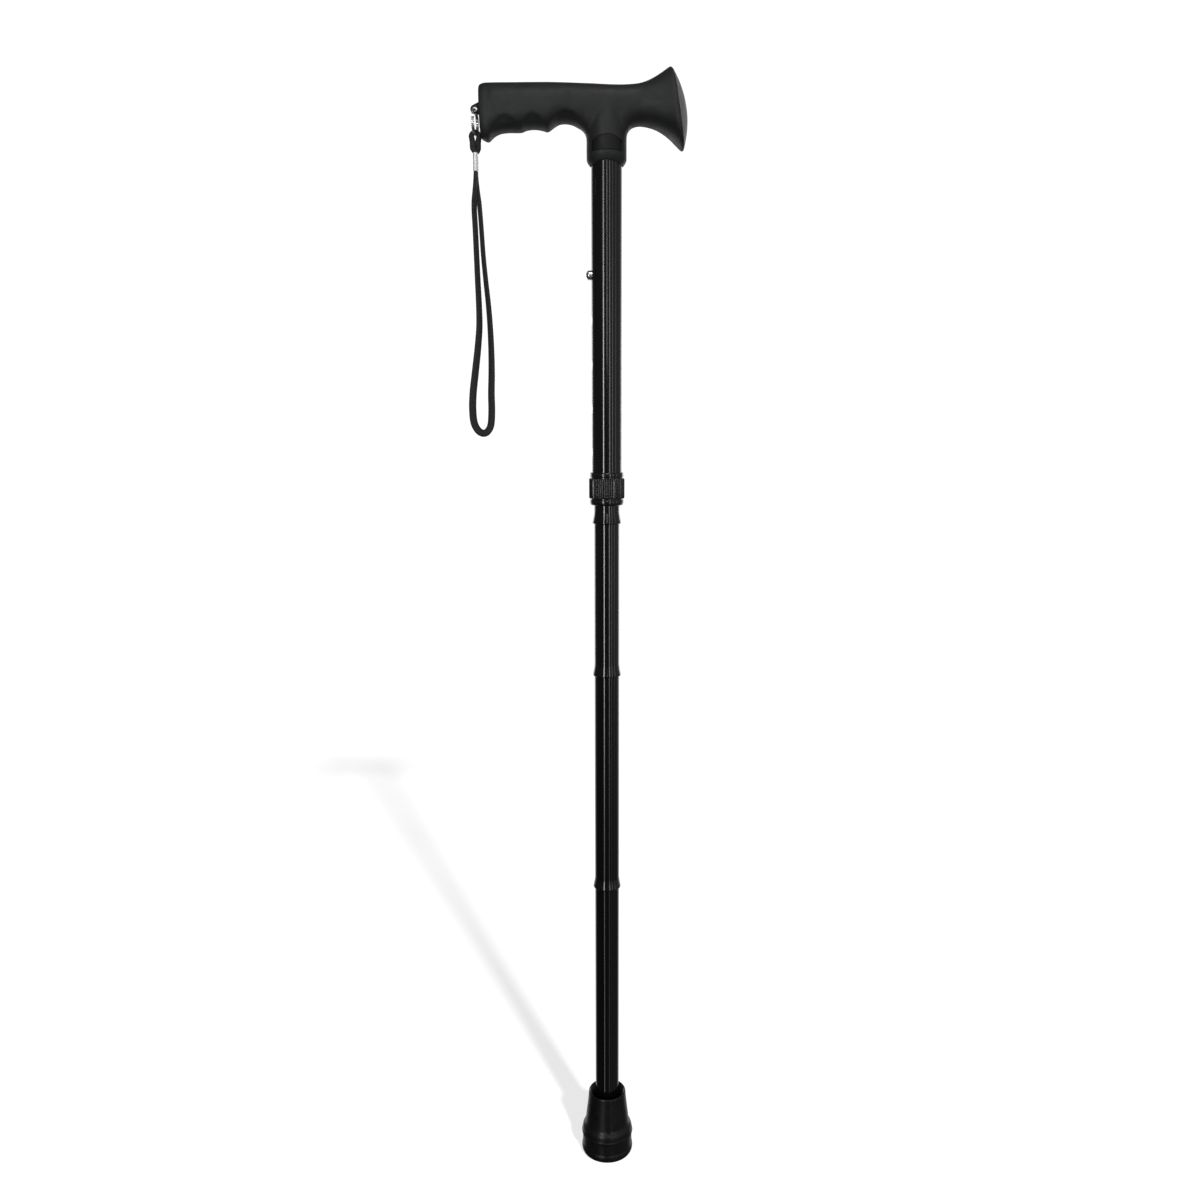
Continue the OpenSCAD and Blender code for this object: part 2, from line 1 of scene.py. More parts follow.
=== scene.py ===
"""Dressed model of a folding walking cane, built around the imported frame. Lengths are in metres."""

import json
import math

import bmesh
import bpy
import numpy as np
from mathutils import Matrix, Vector


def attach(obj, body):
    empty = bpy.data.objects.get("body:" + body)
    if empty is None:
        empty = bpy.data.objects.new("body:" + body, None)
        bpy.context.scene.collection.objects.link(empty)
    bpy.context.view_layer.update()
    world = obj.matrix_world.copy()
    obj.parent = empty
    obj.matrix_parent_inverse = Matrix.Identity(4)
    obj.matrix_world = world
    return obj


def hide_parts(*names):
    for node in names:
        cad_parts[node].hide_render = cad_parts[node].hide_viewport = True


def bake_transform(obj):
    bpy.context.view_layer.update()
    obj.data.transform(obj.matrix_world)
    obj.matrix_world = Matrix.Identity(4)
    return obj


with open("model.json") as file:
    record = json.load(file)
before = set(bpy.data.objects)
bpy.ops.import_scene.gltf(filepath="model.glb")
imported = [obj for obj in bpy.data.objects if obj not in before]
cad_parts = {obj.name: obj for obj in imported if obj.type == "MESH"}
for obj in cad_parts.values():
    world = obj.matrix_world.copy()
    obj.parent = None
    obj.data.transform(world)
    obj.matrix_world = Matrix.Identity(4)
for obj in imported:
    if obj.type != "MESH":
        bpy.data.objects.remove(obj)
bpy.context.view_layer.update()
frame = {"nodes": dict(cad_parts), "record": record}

MM = 0.001
TAU = 2 * math.pi
CURVE_STEPS = 8
JOIN_DISTANCE = 0.000003
GRAIN_H = 0.0001
NOISE_LOW = 0.3
NOISE_HIGH = 0.7

# Angles in degrees past which an edge stays sharp
TUBE_SHARP = 28
NODE_SHARP = 30
LOCK_SHARP = 40
SOFT_SHARP = 50

# Heights up the shaft
JOINT_Z = {1: 0.525, 2: 0.407, 3: 0.233}
FOOT_TUBE_Z = 0.0105
NUT_Z = 0.539
KNURL_Z = 0.544
LOCK_RING_Z = 0.5594
LOCK_TOP_Z = 0.5634
UPPER_END_Z = 0.55016
UPPER_TOP_Z = 0.8154
INNER_TOP_Z = 0.7424
BUTTON_Z = 0.7064
HOLE_PITCH = 0.032
HOLE_COUNT = 5
NECK_Z = 0.7834
TOP_Z = 0.8379

# Tubes
UPPER_R = 0.0111
UPPER_BORE_R = 0.0098
LOWER_R = 0.0095
BORE_R = 0.0083
BELL_R = 0.0108
BELL_L = 0.009
SEAT_H = 0.003
SEAT_GAP = 0.0002
LIP_R = 0.0006
END_CHAMFER = 0.0003
FLARE_POWER = 1.35
LIP_RISE = 1.6
TUBE_SIDES = 144
TURNED_SIDES = 128
HOLE_R = 0.00365
FIT_GAP = 0.00005

# Height lock
BUSH_R = 0.012
NUT_R = 0.01335
NUT_BORE_R = 0.01215
NUT_LIP_R = 0.01263
KNURL_COUNT = 52
KNURL_STEPS = 10
KNURL_DEPTH = 0.00045
KNURL_HOLLOW_R = 0.0008
BUTTON_R = 0.0035
BUTTON_PROUD = 0.0042
SPRING_HALF = 0.00759

# Joints
SPIGOT_GRIP_L = 0.03
NOSE_L = 0.02
NOSE_R = 0.0081
CORD_R = 0.0025
CORD_BORE_R = 0.0031
BEND_HALF_L = 0.034

# Handle
HANDLE_L = 0.1484
HANDLE_LEFT = 0.090524
GRIP_H = 0.033
GRIP_W = 0.03
NECK_R = 0.01435
NECK_RISE = 0.0215
PAD_BULGE = 0.0061
PAD_COVER_SHARE = 0.95

# Foot
FOOT_H = 0.0525
FOOT_TOP_R = 0.0152
FOOT_SPREAD = 0.0058
FOOT_SOLE_T = 0.009

# Strap
LUG_X = -0.093924
LUG_Z = 0.82041
RING_R = 0.0087
RING_WIRE_R = 0.0006
RING_TURN_GAP = 0.00102
CRIMP_TOP_Z = 0.79101
CRIMP_Z = 0.77801
CRIMP_W = 0.0038
CRIMP_DEEP = 0.0076
STRAP_W = 0.0056
STRAP_T = 0.0028


# Mesh helpers


def add_mesh(name, points, faces, smooth_angle=None):
    """New smooth object from points and faces. Edges sharper than smooth_angle degrees stay sharp."""
    mesh = bpy.data.meshes.new(name)
    mesh.from_pydata([tuple(p) for p in points], [], faces)
    mesh.validate()
    mesh.update()
    obj = bpy.data.objects.new(name, mesh)
    bpy.context.scene.collection.objects.link(obj)
    shade(obj, smooth_angle)
    outward(obj)
    return obj


def shade(obj, smooth_angle=None):
    """Shades an object smooth, with edges sharper than smooth_angle degrees left sharp."""
    obj.data.shade_smooth()
    if smooth_angle is not None:
        obj.data.set_sharp_from_angle(angle=math.radians(smooth_angle))


def ring_faces(rings, sides, closed):
    """Quads between neighbouring rings of points, and end caps unless the rings close on themselves."""
    faces = []
    for k in range(rings if closed else rings - 1):
        a, b = k * sides, (k + 1) % rings * sides
        for i in range(sides):
            j = (i + 1) % sides
            faces.append((a + i, a + j, b + j, b + i))
    if not closed:
        faces.append(tuple(range(sides))[::-1])
        faces.append(tuple((rings - 1) * sides + i for i in range(sides)))
    return faces


def turned(name, profile, sides, closed=True, wave=None, smooth_angle=NODE_SHARP, axis_z=None):
    """Piece from (radius, height) points turned about Z, or about a line along X at the height axis_z.

    A third value of a point is the depth that the wave cuts in.
    """
    points = []
    for row in profile:
        radius, height = row[:2]
        depth = row[2] if len(row) > 2 else 0
        for i in range(sides):
            a = TAU * i / sides
            r = radius - (depth * wave(a, radius) if depth else 0)
            if axis_z is None:
                points.append((r * math.cos(a), r * math.sin(a), height))
            else:
                points.append((-height, r * math.cos(a), r * math.sin(a) + axis_z))
    return add_mesh(name, points, ring_faces(len(profile), sides, closed), smooth_angle)


def outward(obj):
    """Turns all faces to the outside."""
    mesh = obj.data
    points = np.array([v.co for v in mesh.vertices])
    mesh.calc_loop_triangles()
    tris = np.array([t.vertices[:] for t in mesh.loop_triangles])
    a, b, c = points[tris[:, 0]], points[tris[:, 1]], points[tris[:, 2]]
    if np.einsum("ij,ij->", a, np.cross(b, c)) < 0:
        mesh.flip_normals()


def hollow_wave(count, depth, hollow_r):
    """Share of the depth that round hollows cut at each angle, with the first hollow at angle 0."""

    def wave(angle, radius):
        pitch = TAU / count
        off = (angle + pitch / 2) % pitch - pitch / 2
        middle = radius + hollow_r - depth
        rest = hollow_r**2 - (middle * math.sin(off)) ** 2
        if rest <= 0:
            return 0
        reach = middle * math.cos(off) - math.sqrt(rest)
        return min(1, max(0, (radius - reach) / depth))

    return wave


def signed_power(value, power):
    return math.copysign(abs(value) ** power, value)


def smooth_run(points, steps):
    """Points of a smooth curve through the given points."""
    p = [np.array(q, float) for q in points]
    last = len(p) - 1
    run = []
    for i in range(last):
        a, b, c, d = p[max(i - 1, 0)], p[i], p[i + 1], p[min(i + 2, last)]
        for k in range(steps):
            t = k / steps
            run.append(
                b
                + (c - a) * t / 2
                + (2 * a - 5 * b + 4 * c - d) * t**2 / 2
                + (3 * b - a - 3 * c + d) * t**3 / 2
            )
    run.append(p[last])
    return run


def lengths(path):
    """Length along a path at each of its points."""
    return np.concatenate([[0], np.cumsum(np.linalg.norm(np.diff(path, axis=0), axis=1))])


def even_run(points, step):
    """The curve's points at even steps of about the given length."""
    p = np.array(points)
    along = lengths(p)
    count = max(2, round(along[-1] / step))
    at = np.linspace(0, along[-1], count + 1)
    return np.stack([np.interp(at, along, p[:, k]) for k in range(3)], axis=1)


def swept(name, path, section, sides, end_ways=None):
    """Tube along a path. section(share, length, side share) gives the offsets towards Y and across it."""
    along = lengths(path)
    points = []
    last = len(path) - 1
    for i, p in enumerate(path):
        way = path[min(i + 1, last)] - path[max(i - 1, 0)]
        if end_ways is not None and i in (0, last):
            way = np.array(end_ways[0 if i == 0 else 1], float)
        way = way / np.linalg.norm(way)
        u = np.array([0, 1, 0]) - way * way[1]
        u = u / np.linalg.norm(u)
        v = np.cross(way, u)
        for k in range(sides):
            a, b = section(i / last, along[i], k / sides)
            points.append(p + u * a + v * b)
    return add_mesh(name, points, ring_faces(len(path), sides, False))


def outline(edges, depth=0):
    """Profile from edges: a radius, a height, and places in and up from them in millimetres.

    A third value of a place is the share of the depth that a wave cuts in there.
    """
    points = []
    for radius, height, places in edges:
        for across, up, *share in places:
            points.append((radius - across * MM, height + up * MM, *[depth * s for s in share]))
    return points


def cut(obj, *tools):
    """Cuts the tools out of an object, removes them and joins points that fall together."""
    for tool in tools:
        mod = obj.modifiers.new("cut", "BOOLEAN")
        mod.operation = "DIFFERENCE"
        mod.solver = "EXACT"
        mod.object = tool
        bpy.context.view_layer.objects.active = obj
        bpy.ops.object.modifier_apply(modifier=mod.name)
        bpy.data.objects.remove(tool)
    shape = bmesh.new()
    shape.from_mesh(obj.data)
    bmesh.ops.remove_doubles(shape, verts=shape.verts, dist=JOIN_DISTANCE)
    shape.to_mesh(obj.data)
    shape.free()


def place(obj, body, slot, node):
    """Gives a piece its slot's material and its body, and hides the CAD node that it stands for."""
    obj.data.materials.clear()
    obj.data.materials.append(SLOT_MATERIALS[slot])
    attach(obj, body)
    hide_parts(node)


# Material helpers, and the materials by the names of their slots
SLOT_MATERIALS = {}


def material(name, color, rough, metal=0, **sockets):
    """New material. Other sockets of its shader are given by name, with _ for a space."""
    made = bpy.data.materials.new(name)
    made.use_nodes = True
    inputs = made.node_tree.nodes["Principled BSDF"].inputs
    inputs["Base Color"].default_value = (*color, 1)
    inputs["Roughness"].default_value = rough
    inputs["Metallic"].default_value = metal
    for key, value in sockets.items():
        inputs[key.replace("_", " ")].default_value = value
    SLOT_MATERIALS[name] = made
    return made


def noise(made, scale, stretch=(1, 1, 1), detail=4):
    """Noise in the piece's own coordinates, scale in bumps to the metre."""
    tree = made.node_tree
    coords = tree.nodes.new("ShaderNodeTexCoord")
    mapping = tree.nodes.new("ShaderNodeMapping")
    mapping.inputs["Scale"].default_value = stretch
    texture = tree.nodes.new("ShaderNodeTexNoise")
    texture.inputs["Scale"].default_value = scale
    texture.inputs["Detail"].default_value = detail
    tree.links.new(coords.outputs["Object"], mapping.inputs["Vector"])
    tree.links.new(mapping.outputs["Vector"], texture.inputs["Vector"])
    return texture.outputs["Fac"]


def map_range(tree, start, end, low, high, kind="LINEAR"):
    """New node that takes start and end to low and high."""
    node = tree.nodes.new("ShaderNodeMapRange")
    node.interpolation_type = kind
    for key, value in (("From Min", start), ("From Max", end), ("To Min", low), ("To Max", high)):
        node.inputs[key].default_value = value
    return node


def spread(made, scale, low, high, **grain):
    """Drives the roughness between low and high with noise."""
    tree = made.node_tree
    factor = noise(made, scale, **grain)
    node = map_range(tree, NOISE_LOW, NOISE_HIGH, low, high)
    tree.links.new(factor, node.inputs["Value"])
    tree.links.new(node.outputs["Result"], tree.nodes["Principled BSDF"].inputs["Roughness"])


def tint(made, scale, first, second, **grain):
    """Drives the base colour between two colours with noise."""
    tree = made.node_tree
    factor = noise(made, scale, **grain)
    ramp = tree.nodes.new("ShaderNodeValToRGB")
    ramp.color_ramp.elements[0].position = NOISE_LOW
    ramp.color_ramp.elements[0].color = (*first, 1)
    ramp.color_ramp.elements[1].position = NOISE_HIGH
    ramp.color_ramp.elements[1].color = (*second, 1)
    tree.links.new(factor, ramp.inputs["Fac"])
    tree.links.new(ramp.outputs["Color"], tree.nodes["Principled BSDF"].inputs["Base Color"])


def relief(made, scale, strength, distance=GRAIN_H, **grain):
    """Adds a bump of noise over what bumps the shader already has."""
    tree = made.node_tree
    height = noise(made, scale, **grain)
    normal = tree.nodes["Principled BSDF"].inputs["Normal"]
    bump = tree.nodes.new("ShaderNodeBump")
    bump.inputs["Strength"].default_value = strength
    bump.inputs["Distance"].default_value = distance
    tree.links.new(height, bump.inputs["Height"])
    if normal.links:
        tree.links.new(normal.links[0].from_socket, bump.inputs["Normal"])
    tree.links.new(bump.outputs["Normal"], normal)


# Materials

grip_rubber = material("grip_rubber", (0.016, 0.017, 0.0175), 0.55, Specular_IOR_Level=0.35)
tint(grip_rubber, 60, (0.014, 0.0148, 0.0152), (0.0185, 0.0195, 0.02))
spread(grip_rubber, 180, 0.48, 0.62)
relief(grip_rubber, 2600, 0.25, detail=2)

PAD_GRAIN_H = 0.0003
pad_rubber = material("pad_rubber", (0.03, 0.031, 0.032), 0.6, Sheen_Weight=0.15, Sheen_Roughness=0.5)
# The end pad's lighter colour is partly its grainy rubber and partly painted light, standing in for light
# from the right on the end face
tint(pad_rubber, 1500, (0.06, 0.061, 0.062), (0.19, 0.192, 0.194), detail=3)
spread(pad_rubber, 300, 0.5, 0.7)
relief(pad_rubber, 1500, 0.6, PAD_GRAIN_H, detail=3)

badge_plastic = material("badge_plastic", (0.007, 0.0075, 0.0068), 0.5, Specular_IOR_Level=0.25)
tint(badge_plastic, 400, (0.006, 0.0064, 0.0058), (0.0082, 0.0088, 0.008))
spread(badge_plastic, 250, 0.45, 0.58)
relief(badge_plastic, 3200, 0.12, detail=2)

black_tube = material("black_tube", (0.003, 0.003, 0.0034), 0.12, Specular_IOR_Level=0.55)
STREAKS = (1, 1, 0.02)
tint(black_tube, 200, (0.0025, 0.0025, 0.0028), (0.0042, 0.0042, 0.0046), stretch=STREAKS, detail=2)
spread(black_tube, 260, 0.09, 0.15, stretch=STREAKS, detail=2)

lock_plastic = material("lock_plastic", (0.008, 0.008, 0.0084), 0.16)
tint(lock_plastic, 120, (0.0072, 0.0072, 0.0075), (0.009, 0.009, 0.0094))
spread(lock_plastic, 120, 0.14, 0.18)

chrome = material("chrome", (0.82, 0.82, 0.83), 0.1, 1)
tint(chrome, 500, (0.76, 0.76, 0.77), (0.86, 0.86, 0.87))
spread(chrome, 1500, 0.16, 0.28)

CRIMP_STREAKS = (1, 1, 0.1)
CRIMP_GRAIN = (1, 1, 0.08)
crimp_metal = material("bright_crimp", (0.9, 0.9, 0.9), 0.45, 0.6)
tint(crimp_metal, 600, (0.82, 0.82, 0.82), (0.94, 0.94, 0.94), stretch=CRIMP_STREAKS)
spread(crimp_metal, 1800, 0.4, 0.55, stretch=CRIMP_GRAIN)
relief(crimp_metal, 1800, 0.12, stretch=CRIMP_GRAIN)

steel = material("steel", (0.58, 0.58, 0.6), 0.3, 1)
tint(steel, 300, (0.5, 0.5, 0.52), (0.64, 0.64, 0.66))
spread(steel, 1200, 0.22, 0.4)

bare_aluminium = material("bare_aluminium", (0.62, 0.63, 0.65), 0.32, 1)
tint(bare_aluminium, 200, (0.56, 0.57, 0.59), (0.68, 0.69, 0.7))
TURNING = (0.05, 0.05, 1)
spread(bare_aluminium, 1600, 0.24, 0.42, stretch=TURNING)
relief(bare_aluminium, 2200, 0.12, stretch=TURNING)

pale_plastic = material("pale_plastic", (0.66, 0.66, 0.62), 0.45)
tint(pale_plastic, 200, (0.6, 0.6, 0.56), (0.72, 0.72, 0.68))
spread(pale_plastic, 600, 0.38, 0.55)

core_plastic = material("core_plastic", (0.06, 0.06, 0.065), 0.5)
tint(core_plastic, 150, (0.05, 0.05, 0.054), (0.075, 0.075, 0.08))
relief(core_plastic, 1800, 0.15)

foot_rubber = material("foot_rubber", (0.005, 0.005, 0.0053), 0.35, Specular_IOR_Level=0.3)
tint(foot_rubber, 120, (0.0035, 0.0035, 0.0038), (0.0075, 0.0073, 0.007), detail=6)
spread(foot_rubber, 260, 0.28, 0.42)
relief(foot_rubber, 1500, 0.2, detail=3)

strap_braid = material("strap_braid", (0.009, 0.009, 0.009), 0.75, Sheen_Weight=0.2, Sheen_Roughness=0.4)
tint(strap_braid, 2200, (0.006, 0.006, 0.006), (0.014, 0.014, 0.0145), detail=3)
spread(strap_braid, 900, 0.65, 0.85)
relief(strap_braid, 5000, 0.4, detail=2)

elastic_cord = material("elastic_cord", (0.02, 0.02, 0.021), 0.7, Sheen_Weight=0.2, Sheen_Roughness=0.4)
tint(elastic_cord, 1200, (0.014, 0.014, 0.015), (0.034, 0.034, 0.035), detail=3)
spread(elastic_cord, 900, 0.6, 0.8)
relief(elastic_cord, 4000, 0.4, detail=2)

# Every CAD node gets its slot's material
SLOT_MATERIALS["lug_plastic"] = lock_plastic
for part in frame["record"]["subparts"]:
    node = frame["nodes"][part["node"]]
    node.data.materials.clear()
    node.data.materials.append(SLOT_MATERIALS[part["material_slot"]])
    shade(node, NODE_SHARP)

# Camera, fitted to the tubes, joints and foot in the photograph
CAMERA_PLACE = (-0.00505, -0.795, 0.5985)
CAMERA_PITCH = 9.451
CAMERA_ROLL = 0.1
CAMERA_LENS_MM = 31.5
CAMERA_SENSOR_MM = 36
CAMERA_NEAR = 0.01
camera = bpy.data.objects.new("camera", bpy.data.cameras.new("camera"))
camera.data.lens = CAMERA_LENS_MM
camera.data.sensor_width = CAMERA_SENSOR_MM
camera.data.sensor_fit = "HORIZONTAL"
camera.data.clip_start = CAMERA_NEAR
camera.location = CAMERA_PLACE
camera.rotation_euler = (math.radians(90 - CAMERA_PITCH), math.radians(CAMERA_ROLL), 0)
bpy.context.scene.collection.objects.link(camera)
bpy.context.scene.camera = camera

# Wrist strap: flat braided cord, a loop from the crimp and back to it.
# The route is in millimetres from the middle of the crimp's lower end.
STRAP_ROUTE_MM = [
    (0, -2, 0), (-0.5, -2, -8), (-1.5, -2, -24), (-1, -2, -40), (-0.5, -2, -58), (0, -2, -76),
    (0.5, -2, -92), (0.5, -2, -108), (-1, -2, -124), (-3, -2.5, -140), (-5, -3, -156),
    (-5.5, -3.5, -168), (-4.5, -3.5, -178), (-1, -2.5, -184), (3.5, -0.5, -185), (7, 1.5, -180),
    (8, 2, -170), (8, 2, -156), (8.5, 2, -140), (8.5, 2, -124), (8, 2, -108), (7, 2, -92),
    (5.5, 2, -76), (4, 2, -58), (3, 2, -40), (2, 2, -24), (0.5, 2, -8), (0, 2, 0),
]
STRAP_STEP = 0.0005
STRAP_SIDES = 40
STRAP_CURVE_STEPS = 10
STRAP_TURN = 28
STRAP_TWIST = 44
STRAP_TWIST_POWER = 4
STRAP_END_SHARE = 0.62
STRAP_SPREAD_RATE = 6
STRAP_EDGE_POWER = 0.8
BRAID_DEPTH = 0.00016
BRAID_PITCH = 0.0026
BRAID_YARNS = 6


def braid(length, side, yarns=BRAID_YARNS, pitch=BRAID_PITCH):
    """Height of a braid's surface, 0 to 1, from two families of yarns that wind opposite ways."""
    one = abs(math.sin(math.pi * (length / pitch + yarns * side)))
    other = abs(math.sin(math.pi * (length / pitch - yarns * side)))
    return max(one, other)


def strap_section(share, length, side):
    """Flat section that widens from the crimp and turns on its way down to the bottom of the loop."""
    down = math.sin(math.pi * share)
    near_full = min(1, STRAP_SPREAD_RATE * down)
    grown = STRAP_END_SHARE + (1 - STRAP_END_SHARE) * near_full
    turn = math.radians(STRAP_TURN * near_full + STRAP_TWIST * down**STRAP_TWIST_POWER)
    a = TAU * side
    dip = BRAID_DEPTH * (1 - braid(length, side))
    flat = signed_power(math.cos(a), STRAP_EDGE_POWER)
    h = (STRAP_W / 2 * grown - dip) * flat
    w = (STRAP_T / 2 - dip) * math.sin(a)
    return h * math.cos(turn) - w * math.sin(turn), h * math.sin(turn) + w * math.cos(turn)


strap_base = np.array([LUG_X, 0, CRIMP_Z])
strap_points = [strap_base + np.array(p) * MM for p in STRAP_ROUTE_MM]
strap_path = even_run(smooth_run(strap_points, STRAP_CURVE_STEPS), STRAP_STEP)
strap = swept("wrist_strap_braid", strap_path, strap_section, STRAP_SIDES, ((0, 0, -1), (0, 0, 1)))
place(strap, "strap", "strap_braid", "wrist_strap")

# Keeper: a loop of round cord through the split ring, with both ends in the crimp
KEEPER_R = 0.0015
KEEPER_L = 0.012
KEEPER_PLAY = 0.00015
KEEPER_HALF = KEEPER_R + RING_WIRE_R + RING_TURN_GAP / 2 + KEEPER_PLAY
KEEPER_APART = CRIMP_DEEP / 4
KEEPER_LEG_SHARES = ((0, 1, 0), (0.62, 0.75, 0.25), (0.68, 0.4, 0.6))
KEEPER_TURN_SHARE = 0.98
KEEPER_TURN_STEPS = 4
KEEPER_FLAT = 0.45
KEEPER_FLAT_RATE = 2.4
KEEPER_YARNS = 4
KEEPER_PITCH = 0.0022
KEEPER_STEP = 0.0004
KEEPER_SIDES = 24
keeper_points = [(-KEEPER_HALF * a, -KEEPER_APART * b, KEEPER_L * c) for a, b, c in KEEPER_LEG_SHARES]
for k in range(KEEPER_TURN_STEPS + 1):
    a = math.pi * (1 - k / KEEPER_TURN_STEPS)
    turn_z = KEEPER_L * KEEPER_TURN_SHARE + KEEPER_HALF * math.sin(a)
    keeper_points.append((KEEPER_HALF * math.cos(a), 0, turn_z))
keeper_points += [(-x, -y, z) for x, y, z in keeper_points[2::-1]]


def keeper_section(share, length, side):
    """Round section, flattened along the legs."""
    leg = math.sqrt(math.sin(math.pi * min(1, KEEPER_FLAT_RATE * min(share, 1 - share))))
    r = KEEPER_R - BRAID_DEPTH * (1 - braid(length, side, KEEPER_YARNS, KEEPER_PITCH))
    return r * math.cos(TAU * side), r * (1 + KEEPER_FLAT * leg) * math.sin(TAU * side)


keeper_base = np.array([LUG_X, 0, CRIMP_TOP_Z])
keeper_run = smooth_run([keeper_base + np.array(p) for p in keeper_points], CURVE_STEPS)
keeper_path = even_run(keeper_run, KEEPER_STEP)
keeper = swept("strap_keeper_loop", keeper_path, keeper_section, KEEPER_SIDES, ((0, 0, 1), (0, 0, -1)))
place(keeper, "strap", "strap_braid", "strap_keeper")

# Crimp: a flattened bright sleeve with rolled ends and two pinches
CRIMP_ROWS = 40
CRIMP_SIDES = 64
CRIMP_ROLL = 0.0005
CRIMP_FLAT_RATE = 1.6
PINCH_SHARES = (0.32, 0.68)
PINCH_WIDTH_SHARE = 0.07
PINCH_DEPTH = 0.0003
PINCH_REACH = 0.5
crimp_points = []
for k in range(CRIMP_ROWS + 1):
    share = k / CRIMP_ROWS
    z = CRIMP_Z + (CRIMP_TOP_Z - CRIMP_Z) * share
    from_end = min(z - CRIMP_Z, CRIMP_TOP_Z - z)
    rolled = CRIMP_ROLL * (1 - min(1, from_end / CRIMP_ROLL)) ** 2
    pinch = sum(math.exp(-(((share - at) / PINCH_WIDTH_SHARE) ** 2)) for at in PINCH_SHARES)
    for i in range(CRIMP_SIDES):
        a = TAU * i / CRIMP_SIDES
        c, s = math.cos(a), math.sin(a)
        straight = math.copysign((CRIMP_DEEP - CRIMP_W) / 2, s) * min(1, abs(s) * CRIMP_FLAT_RATE)
        r = CRIMP_W / 2 - rolled - PINCH_DEPTH * pinch * max(0, abs(c) - PINCH_REACH)
        crimp_points.append((LUG_X + r * c, straight + r * s, z))
crimp_faces = ring_faces(CRIMP_ROWS + 1, CRIMP_SIDES, False)
crimp = add_mesh("strap_crimp_sleeve", crimp_points, crimp_faces, SOFT_SHARP)
place(crimp, "strap", "bright_crimp", "strap_crimp")

# Split ring: two turns of round wire, with a step where the turns change over
RING_STEPS = 360
RING_LEAN = 0.09
RING_START = 0.9
RING_STEP_RATE = 5
RING_WIRE_SHARE = 0.98
RING_SIDES = 16
ring_centre = np.array([LUG_X, 0, LUG_Z - RING_R])
wire_r = RING_WIRE_R * RING_WIRE_SHARE
ring_points = []
for k in range(RING_STEPS + 1):
    a = 2 * TAU * k / RING_STEPS
    climb = 1 / (1 + math.exp(-(a - TAU) * RING_STEP_RATE))
    out = np.array([0, math.sin(a - RING_START), math.cos(a - RING_START)])
    x = (climb - 0.5) * RING_TURN_GAP + RING_R * out[1] * RING_LEAN
    for i in range(RING_SIDES):
        b = TAU * i / RING_SIDES
        along_x = np.array([x + wire_r * math.sin(b), 0, 0])
        ring_points.append(ring_centre + out * (RING_R + wire_r * math.cos(b)) + along_x)
split_ring = add_mesh("split_ring_wire", ring_points, ring_faces(RING_STEPS + 1, RING_SIDES, False))
place(split_ring, "ring", "chrome", "split_ring")

# Tubes
CUT_STEPS = 50


def hole_tool(z, x_out):
    """Cylinder along X for a hole in the left side of a tube."""
    return turned("hole", [(HOLE_R, 0), (HOLE_R, x_out)], CUT_STEPS, False, axis_z=z)


def plain_tube(name, z0, z1, r_out, r_in):
    """Straight tube with a small chamfer at each end."""
    profile = [
        (r_in, z0), (r_out - END_CHAMFER, z0), (r_out, z0 + END_CHAMFER),
        (r_out, z1 - END_CHAMFER), (r_out - END_CHAMFER, z1), (r_in, z1),
    ]
    return turned(name, profile, TUBE_SIDES, smooth_angle=TUBE_SHARP)


def belled_tube(name, z0, z1):
    """Tube with a bell mouth at its lower end."""
    flare_steps = 14
    lip_steps = 6
    lip_h = LIP_R * LIP_RISE
    profile = [(LOWER_R - END_CHAMFER, z1), (LOWER_R, z1 - END_CHAMFER)]
    for k in range(flare_steps + 1):
        t = k / flare_steps
        profile.append((LOWER_R + (BELL_R - LOWER_R) * t**FLARE_POWER, z0 + BELL_L - (BELL_L - lip_h) * t))
    for k in range(1, lip_steps + 1):
        a = math.pi / 2 * k / lip_steps
        profile.append((BELL_R - LIP_R + LIP_R * math.cos(a), z0 + lip_h * (1 - math.sin(a))))
    seat_r = LOWER_R + SEAT_GAP
    profile += [(seat_r, z0), (seat_r, z0 + SEAT_H + SEAT_GAP), (BORE_R, z0 + BELL_L), (BORE_R, z1)]
    return turned(name, profile, TUBE_SIDES, smooth_angle=TUBE_SHARP)


upper_tube = plain_tube("upper_tube_drawn", UPPER_END_Z, UPPER_TOP_Z, UPPER_R, UPPER_BORE_R)
cut(upper_tube, *[hole_tool(BUTTON_Z - i * HOLE_PITCH, 2 * UPPER_R) for i in range(HOLE_COUNT)])
shade(upper_tube, TUBE_SHARP)
place(upper_tube, "upper", "black_tube", "upper_tube")

inner_tube = belled_tube("inner_tube_drawn", JOINT_Z[1], INNER_TOP_Z)
cut(inner_tube, hole_tool(BUTTON_Z, 2 * LOWER_R))
shade(inner_tube, TUBE_SHARP)
place(inner_tube, "inner", "black_tube", "inner_tube")

second_tube = belled_tube("second_tube_drawn", JOINT_Z[2], JOINT_Z[1] + SEAT_H)
place(second_tube, "second_section", "black_tube", "second_tube")
third_tube = belled_tube("third_tube_drawn", JOINT_Z[3], JOINT_Z[2] + SEAT_H)
place(third_tube, "third_section", "black_tube", "third_tube")
foot_tube = plain_tube("foot_tube_drawn", FOOT_TUBE_Z, JOINT_Z[3] + SEAT_H, LOWER_R, BORE_R)
place(foot_tube, "foot_section", "black_tube", "foot_tube")

